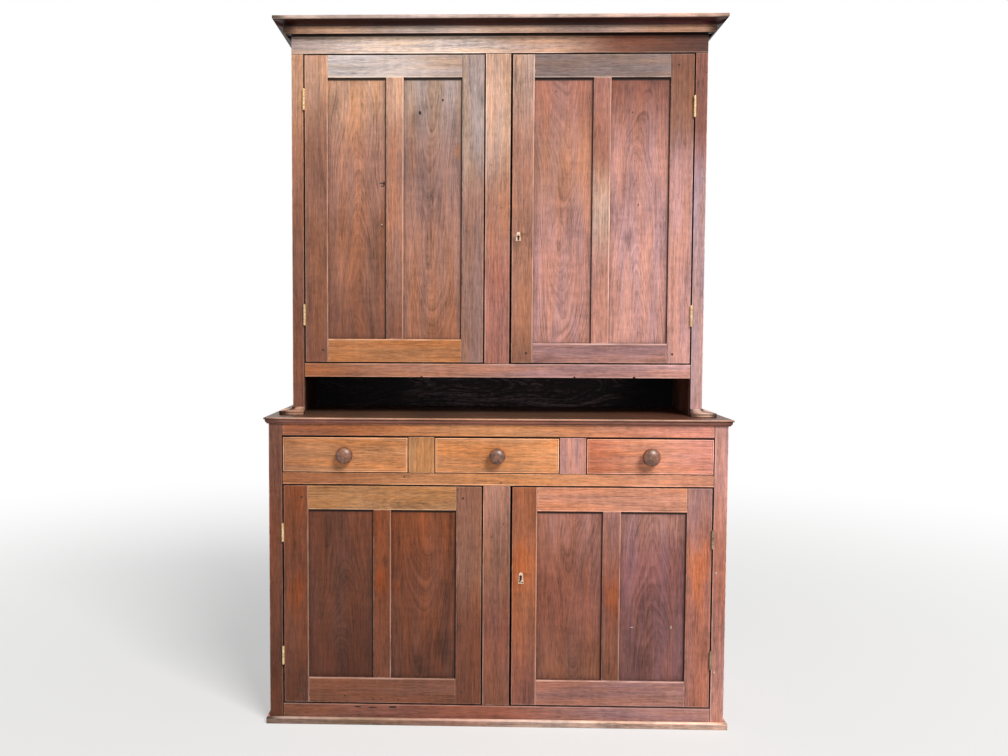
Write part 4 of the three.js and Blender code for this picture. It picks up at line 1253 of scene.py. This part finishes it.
def door(label):
    """A framed door: two stiles, a muntin and two rails round two panels, and the pegs that show."""
    tones = DOORS[label]
    body = f"{label}_door"
    lo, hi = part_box(f"{body}_frame")
    outer = [Vector(c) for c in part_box(f"{body}_panel_outer")]
    inner = [Vector(c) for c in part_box(f"{body}_panel_inner")]
    for low, high in (outer, inner):
        for i in (0, 2):
            low[i] += TONGUE
            high[i] -= TONGUE
    left, right = (outer, inner) if "left" in label else (inner, outer)
    names = ("hinge_stile", "lock_stile") if "left" in label else ("lock_stile", "hinge_stile")
    sill, head = outer[0].z, outer[1].z
    near, far = left[0].x + SEAM, right[1].x - SEAM
    # The borders paint shade in the gaps and highlights on the arrises that face the window
    members = (
        (names[0], (lo.x, lo.z), (left[0].x, hi.z), "z", ("gap", "lit", "gap", "gap")),
        (names[1], (right[1].x, lo.z), (hi.x, hi.z), "z", ("dim", "gap", "gap", "gap")),
        ("muntin", (left[1].x, sill + SEAM), (right[0].x, head - SEAM), "z", ("dim", "lit", "", "")),
        ("bottom_rail", (near, lo.z), (far, sill), "x", ("gap", "bright", "joint", "joint")),
        ("top_rail", (near, head), (far, hi.z), "x", ("lit", "gap", "joint", "joint")),
    )
    for member, low, high, along, edges in members:
        window = None
        if member == "lock_stile" and "right" in label:
            key_x, key_z = key_place(label)
            middle = (low[0] + high[0]) / 2
            window = (key_z - KEYWAY_DROP - lo.z, key_z + KEYWAY_HALF - lo.z,
                      key_x - middle - KEYWAY_HALF, key_x - middle + KEYWAY_HALF)
        timber(f"{body}_{member}", (low[0], lo.y, low[1]), (high[0], hi.y, high[1]), along, tones[member],
               body=body, window=window, stands_for=(f"{body}_frame",), arris=0.9 * MM, edges=edges,
               sawn="flat" if f"{label} {member}" == "lower_left top_rail" else "rift",
               **PATCHES.get(f"{label} {member}", {}))
    rim = Vector((PANEL_CLEAR, 0, PANEL_CLEAR))
    # Each panel is painted dark along its edges for the shade of the frame round it, darkest under the
    # top rail and along the right
    for side, (low, high) in (("outer", outer), ("inner", inner)):
        timber(f"{body}_panel_{side}_board", low + rim, high - rim, "z", tones[f"panel_{side}"], body=body,
               slot="panel_walnut", sawn="plain", stands_for=(f"{body}_panel_{side}",), arris=0.5 * MM,
               edges=("dim", "shadow", "dim", "deep shadow"), **PATCHES.get(f"{label} panel_{side}", {}))
    for rail, z in (("bottom", (lo.z + sill) / 2), ("top", (hi.z + head) / 2)):
        for joint, x in (("left", left[0].x - PEG_INSET), ("right", right[1].x + PEG_INSET)):
            shift = CHANCE.uniform(-4, 4) * MM
            if f"{label} {rail} {joint}" in SEEN_PEGS:
                peg(f"{body}_{rail}_{joint}_peg", x + shift, lo.y, z + shift / 2, body)


SEEN_PEGS = ("upper_left bottom left", "upper_right top right", "upper_right bottom left",
             "upper_right bottom right", "lower_left top left", "lower_left top right",
             "lower_left bottom left", "lower_left bottom right")


def peg(name, x, face, z, body):
    """The end of an oak peg, driven through a joint and rubbed nearly level."""
    radius = CHANCE.uniform(3.4, 4.2) * MM
    profile = [(radius, -2 * MM), (radius, 0.1 * MM), (radius - 0.5 * MM, PROUD), (radius / 3, PROUD)]
    metal(name, [turned(profile, (x, face, z), "-y", sides=14)], body, "walnut", "dark_peg")


# Drawers
# The rings of points on a drawer front's face, from its edge inwards, as (inset, depth, wear and light)
# in millimetres. The dark rings are painted shade in the gap round the front and in the bead's groove,
# the light ones painted highlights on the bead
FRONT_LOOPS = ((0, 1.2, -0.7), (0.35, 0.4, 0.2), (1.2, 0.0, 1.0), (2.8, 0.0, 0.8), (3.6, 0.0, 0.0),
               (4.1, 0.75, -0.7), (4.9, 0.75, -0.5), (5.4, 0.0, 0.6), (7.4, 0.0, 0.0))


def beaded_front(name, lo, hi, shades, body):
    """A drawer front with a scratched bead just inside its edges."""
    seed = fresh_seed()
    steps = 10
    # The front's sides are painted dark, back into the gap, for the shade there
    loops = [(0, (hi.y - lo.y) / MM, -0.9), *FRONT_LOOPS]
    points, places, tints, painted_light_and_wear = [], [], [], []
    middle = [(a + b) / 2 for a, b in zip(lo, hi)]
    for inset, depth, wear_and_light in loops:
        for row in (0, 1):
            for s in range(steps + 1):
                x = lo.x + inset * MM + (hi.x - lo.x - 2 * inset * MM) * s / steps
                z = hi.z - inset * MM if row else lo.z + inset * MM
                y = lo.y + depth * MM
                points.append((x, y, z))
                places.append((x - middle[0], z - middle[2], y - middle[1]))
                tints.append(blended(shades, (x - lo.x) / (hi.x - lo.x)))
                painted_light_and_wear.append(wear_and_light)
    halves = [(b - a) / 2 for a, b in zip(lo, hi)]
    heart = (CHANCE.choice((-0.05, 0.05)), 0.05, 0.02)
    faces = stacked_faces(len(loops), steps)
    mesh = wood_mesh(name, points, faces, places, (halves[0], halves[2], halves[1]), seed, heart, tints, painted_light_and_wear)
    return piece(name, mesh, body, "walnut", None, (body_drawer(body),))


def body_drawer(body):
    """The CAD node of the drawer that moves with a body."""
    return f"drawer_{body.split('_')[0]}"


def tail(x, y0, y1, z, sign):
    """One dovetail of a drawer side, let into the end of the front."""
    points = []
    for out in TAIL_OUT:
        for y, half in zip((y0, y1), TAIL_HALVES):
            points += [(x + sign * out, y, z - half), (x + sign * out, y, z + half)]
    return points, [(0, 1, 3, 2), (4, 5, 7, 6), (0, 1, 5, 4), (2, 3, 7, 6), (0, 2, 6, 4), (1, 3, 7, 5)]


DRAWERS = {
    "left": ("amber", "honey", "honey"),
    "middle": ("honey", "honey", "apricot"),
    "right": ("salmon", "peach", "coral"),
}
# Thicknesses of a drawer's boards, and how far they stand clear of its box
FRONT_THICK = 20 * MM
SIDE_THICK = 12 * MM
FRONT_CLEAR = (1.5 * MM, 1.6 * MM)
SIDE_DROP = 7.2 * MM
BACK_DROP = 3 * MM
BOTTOM_RISE = 7 * MM
BOTTOM_THICK = 8 * MM
# Where the dovetails start behind the face, and how far up they sit in millimetres
TAIL_START = 7 * MM
TAIL_RISES = (18, 50, 82)
# Half a dovetail's height at its end and at its root, and how far out of the side its faces lie
TAIL_HALVES = (8.5 * MM, 5.5 * MM)
TAIL_OUT = (-0.3 * MM, 0.2 * MM)


def drawer(label, shades):
    """A drawer with its beaded front, and its sides, back and raised bottom of pale wood."""
    node, body = f"drawer_{label}", f"{label}_drawer"
    lo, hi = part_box(node)
    front_back = lo.y + FRONT_THICK
    front_lo = Vector((lo.x, lo.y, lo.z + FRONT_CLEAR[0]))
    beaded_front(f"{node}_front", front_lo, Vector((hi.x, front_back, hi.z - FRONT_CLEAR[1])), shades, body)
    top = hi.z - SIDE_DROP
    near, far = front_back + SEAM, hi.y - SIDE_THICK
    left, right = lo.x + SIDE_THICK, hi.x - SIDE_THICK
    floor = lo.z + BOTTOM_RISE
    boards = (
        ("side_left", (lo.x, near, lo.z), (left, hi.y, top), "y", ("pine", "barn")),
        ("side_right", (right, near, lo.z), (hi.x, hi.y, top), "y", ("pine", "barn")),
        ("back", (left + SEAM, far, floor), (right - SEAM, hi.y, top - BACK_DROP), "x", ("pine", "pine")),
        ("bottom", (left + SEAM, near, floor), (right - SEAM, far - SEAM, floor + BOTTOM_THICK), "x",
         ("pine", "barn")),
    )
    for part, low, high, along, tones in boards:
        timber(f"{node}_{part}", low, high, along, tones, body=body, slot="secondary_wood", sawn="flat",
               stands_for=(node,))
    tails = [tail(x, lo.y + TAIL_START, front_back, lo.z + rise * MM, sign)
             for x, sign in ((lo.x, -1), (hi.x, 1)) for rise in TAIL_RISES]
    metal(f"{node}_dovetails", tails, body, "secondary_wood", "end_grain")


KNOB_NECK = 11 * MM
KNOB_RIM_OUT = 21.5 * MM
# The ring at a knob's foot, as (radius, how far out) in millimetres
KNOB_FOOT = ((0.5, 0), (14.6, 0), (15, 0.5), (15, 2.2), (14.6, 2.9), (12, 3.4), (11.4, 4.2))
# The waisted neck: its start and its length in millimetres, its first and its further swell in
# shares of what it swells to the rim, and how late it flares
NECK_START, NECK_RUN = 4.5, 11.5
NECK_SWELL, NECK_GROWTH, NECK_FLARE = 0.02, 0.86, 2.6
# The curve to the rim, as (share of the rim's radius, how far out in millimetres)
KNOB_RIM = ((0.965, 17.2), (0.99, 19.2))


def knob(label):
    """A turned mushroom knob with a foot ring, a waisted neck and a domed cap."""
    lo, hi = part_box(f"knob_{label}")
    rim = (hi.x - lo.x) / 2
    centre = ((lo.x + hi.x) / 2, hi.y, (lo.z + hi.z) / 2)
    reach = hi.y - lo.y
    swell = rim - KNOB_NECK
    profile = [(radius * MM, out * MM) for radius, out in KNOB_FOOT]
    for k in range(1, 9):
        t = k / 8
        radius = KNOB_NECK + swell * (NECK_SWELL + NECK_GROWTH * t ** NECK_FLARE)
        profile.append((radius, (NECK_START + NECK_RUN * t) * MM))
    profile += [(rim * share, out * MM) for share, out in KNOB_RIM]
    profile.append((rim, KNOB_RIM_OUT))
    crown = reach - KNOB_RIM_OUT
    for k in range(1, 12):
        turn = math.radians(90 * k / 12)
        profile.append((rim * math.cos(turn), KNOB_RIM_OUT + crown * math.sin(turn)))
    profile += [(rim * 0.06, reach - 0.02 * MM), (0.3 * MM, reach)]
    metal(f"knob_{label}_turned", [turned(profile, centre, "-y", sides=64)], f"{label}_drawer", "knob_wood",
          stands_for=(f"knob_{label}",))


# Holes, gouges and chips on the face of a node, and the dark of the keyholes, a painted shade on the
# lock behind, each as (kind, x, z, width, height) in millimetres
MARKS = (
    ("case", "upper_stile_right", (
        ("dirt_and_shade", 628, 1976, 3, 4), ("dirt_and_shade", 604, 1933, 3, 3), ("dirt_and_shade", 622, 1660, 3, 4),
    )),
    ("upper_right_door", "upper_right_door_panel_outer", (("dirt_and_shade", 429, 1580, 4, 8),)),
    ("case", "base_mullion", (
        ("dirt_and_shade", -14, 577, 4, 4), ("dirt_and_shade", 20, 616, 4, 5),
    )),
    ("case", "base_middle_rail", (
        ("dirt_and_shade", 12, 741, 5, 5), ("dirt_and_shade", -277, 757, 6, 5), ("dirt_and_shade", -251, 747, 3, 3),
    )),
    ("upper_left_door", "upper_left_door_panel_inner", (
        ("dirt_and_shade", -239, 1859, 9, 15), ("dirt_and_shade", -169, 1897, 6, 9),
    )),
    ("upper_left_door", "upper_left_door_panel_outer", (
        ("dirt_and_shade", -349, 1645, 6, 15), ("dirt_and_shade", -356, 1646, 20, 4), ("dirt_and_shade", -353, 1637, 12, 4),
        ("putty", -356, 1520, 5, 4),
    )),
    ("upper_right_door", "upper_right_door_panel_inner", (
        ("dirt_and_shade", 176, 1923, 3, 5), ("dirt_and_shade", 277, 1903, 3, 5),
    )),
    ("upper_right_door", "upper_right_door_panel_outer", (("dirt_and_shade", 409, 1859, 4, 7),)),
    ("upper_right_door", "upper_right_door_frame", (("dirt_and_shade", 78, 1459, 3, 3),)),
    ("case", "upper_mullion", (
        ("dirt_and_shade", -20, 1700, 3, 5), ("dirt_and_shade", 12, 1570, 3, 4),
    )),
    ("case", "frieze_rail", (("dirt_and_shade", 340, 2070, 3, 3),)),
    ("lower_left_door", "lower_left_door_frame", (
        ("dirt_and_shade", -458, 86, 6, 4), ("dirt_and_shade", -370, 76, 9, 4), ("dirt_and_shade", -347, 77, 7, 3),
        ("dirt_and_shade", -299, 87, 5, 4), ("dirt_and_shade", -294, 76, 6, 4),
    )),
    ("case", "base_bottom_rail", (
        ("dirt_and_shade", -417, 53, 22, 6), ("dirt_and_shade", -372, 51, 34, 5), ("dirt_and_shade", -312, 53, 30, 7),
    )),
    ("lower_right_door", "lower_right_door_panel_outer", (
        ("putty", 408, 305, 14, 2), ("putty", 526, 306, 3, 12),
    )),
    ("case", "base_stile_right", (
        ("putty", 656, 475, 5, 9), ("putty", 655, 173, 6, 8),
    )),
    ("case", "base_middle_rail", (("putty", 228, 741, 6, 3),)),
    ("upper_right_door", "upper_right_door_lock", (
        ("dirt_and_shade", 64, 1483, 10, 9), ("dirt_and_shade", 64, 1476, 8, 12),
    )),
    ("lower_right_door", "lower_right_door_lock", (
        ("dirt_and_shade", 73, 458, 10, 10), ("dirt_and_shade", 73, 451, 9, 14), ("dirt_and_shade", 71, 443, 8, 8),
        ("dirt_and_shade", 78, 441, 6, 5),
    )),
)
MARK_SIDES = 14
# The rings of points round a mark's middle, as (share of its size, millimetres out from the face)
MARK_RINGS = ((0.62, 0.12), (1.0, -0.05))


def mark(index, kind, body, node, x, z, wide, high):
    """A small ragged hole or chip, lying on the face of what carries it."""
    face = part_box(node)[0].y
    points = [(x * MM, face - MARK_RINGS[0][1] * MM, z * MM)]
    for share, proud in MARK_RINGS:
        for k in range(MARK_SIDES):
            turn = math.tau * k / MARK_SIDES
            ragged = share * CHANCE.uniform(0.78, 1.22) / 2
            points.append(((x + wide * ragged * math.cos(turn)) * MM, face - proud * MM,
                           (z + high * ragged * math.sin(turn)) * MM))
    faces = []
    for k in range(MARK_SIDES):
        here, after = 1 + k, 1 + (k + 1) % MARK_SIDES
        faces.append((0, here, after))
        faces.append((here, MARK_SIDES + here, MARK_SIDES + after, after))
    faces.append(tuple(range(1 + MARK_SIDES, 1 + 2 * MARK_SIDES)))
    metal(f"mark_{index + 1}", [(points, faces)], body, "walnut", kind)


case_boards()
carcass()
drawer_deck()
mouldings()
hinges()
for label in DOORS:
    door(label)
for label, shades in DRAWERS.items():
    drawer(label, shades)
    knob(label)

spots = [(kind, body, node, *spot) for body, node, row in MARKS for kind, *spot in row]
for index, spot in enumerate(spots):
    mark(index, *spot)

for name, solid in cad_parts.items():
    kept = "pale" if name.endswith("_lock") else "iron" if name.endswith("_bolt") else None
    if kept:
        solid.data.materials.clear()
        solid.data.materials.append(FINISH[kept])


# Stage and camera
def camera():
    """The camera as fitted to the photograph's straight edges. Its frame is 1008 by 756 pixels."""
    wide, high = 1008, 756
    place = Vector((-77.9, -2772.3, 1204.1)) * MM
    front_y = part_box("base_stile_left")[0].y
    place.y += front_y
    yaw, pitch, roll = -0.02632, 0.05229, -0.00371
    focal, centre_x, centre_y = 933.45, 446.77, 376.31
    lens = bpy.data.cameras.new("camera")
    lens.sensor_width = 36.0
    lens.lens = focal * lens.sensor_width / wide
    lens.shift_x = (wide / 2 - centre_x) / wide
    lens.shift_y = (centre_y - high / 2) / wide
    lens.clip_end = 50
    forward = Vector((math.sin(yaw) * math.cos(pitch), math.cos(yaw) * math.cos(pitch), -math.sin(pitch)))
    view = bpy.data.objects.new("camera", lens)
    turn = forward.to_track_quat("-Z", "Y").to_matrix()
    view.matrix_world = Matrix.Translation(place) @ turn.to_4x4() @ Matrix.Rotation(-roll, 4, "Z")
    scene.collection.objects.link(view)
    scene.camera = view


def light(name, place, target, size, power, colour):
    """A soft lamp aimed at a point."""
    lamp = bpy.data.lights.new(name, "AREA")
    lamp.shape = "RECTANGLE"
    lamp.size, lamp.size_y = size
    lamp.energy = power
    lamp.color = colour
    made = bpy.data.objects.new(name, lamp)
    made.location = place
    made.rotation_euler = (Vector(target) - Vector(place)).to_track_quat("-Z", "Y").to_euler()
    scene.collection.objects.link(made)


def seen_plainly(g):
    """1 where the camera, a reflection or glass shows the background."""
    path = g.node("ShaderNodeLightPath").outputs
    mirrored = g.most(path["Is Glossy Ray"], path["Is Transmission Ray"])
    return g.most(path["Is Camera Ray"], mirrored)


def stage():
    """A pale floor that fades to white, an even sky and one wide soft window."""
    mesh = bpy.data.meshes.new("floor")
    reach = 30.0
    corners = [(x * reach, y * reach, 0) for x, y in ((-1, -1), (1, -1), (1, 1), (-1, 1))]
    mesh.from_pydata(corners, [], [(0, 1, 2, 3)])
    floor = bpy.data.objects.new("floor", mesh)
    scene.collection.objects.link(floor)
    material = bpy.data.materials.new("pale floor")
    material.use_nodes = True
    g = Graph(material.node_tree)
    g.tree.nodes.clear()
    matt = g.node("ShaderNodeBsdfDiffuse")
    g.feed(matt.inputs["Color"], g.mix(seen_plainly(g), (0.7, 0.7, 0.7, 1), (0.92, 0.92, 0.92, 1)))
    paper = g.node("ShaderNodeEmission")
    away = g.vector("LENGTH", g.node("ShaderNodeTexCoord").outputs["Object"])
    blank = g.times(g.range(away, 0.9, 5.0, 0.45, 1.0), seen_plainly(g))
    floor_mix = g.node("ShaderNodeMixShader")
    g.feed(floor_mix.inputs[0], blank)
    g.feed(floor_mix.inputs[1], matt.outputs[0])
    g.feed(floor_mix.inputs[2], paper.outputs[0])
    g.feed(g.node("ShaderNodeOutputMaterial").inputs[0], floor_mix.outputs[0])
    mesh.materials.append(material)

    world = bpy.data.worlds.new("studio")
    scene.world = world
    world.use_nodes = True
    g = Graph(world.node_tree)
    g.tree.nodes.clear()
    both = g.node("ShaderNodeMixShader")
    g.feed(both.inputs[0], seen_plainly(g))
    for socket, strength in ((both.inputs[1], 0.2), (both.inputs[2], 1.0)):
        white = g.node("ShaderNodeBackground")
        white.inputs["Color"].default_value = (1.0, 1.0, 1.0, 1)
        white.inputs["Strength"].default_value = strength
        g.feed(socket, white.outputs[0])
    g.feed(g.node("ShaderNodeOutputWorld").inputs[0], both.outputs[0])

    light("window", (5.1, -8.2, 9.8), (0, 0, 1.1), (5.0, 5.0), 1480, (1.0, 0.985, 0.965))


camera()
stage()
scene.view_settings.view_transform = "Standard"
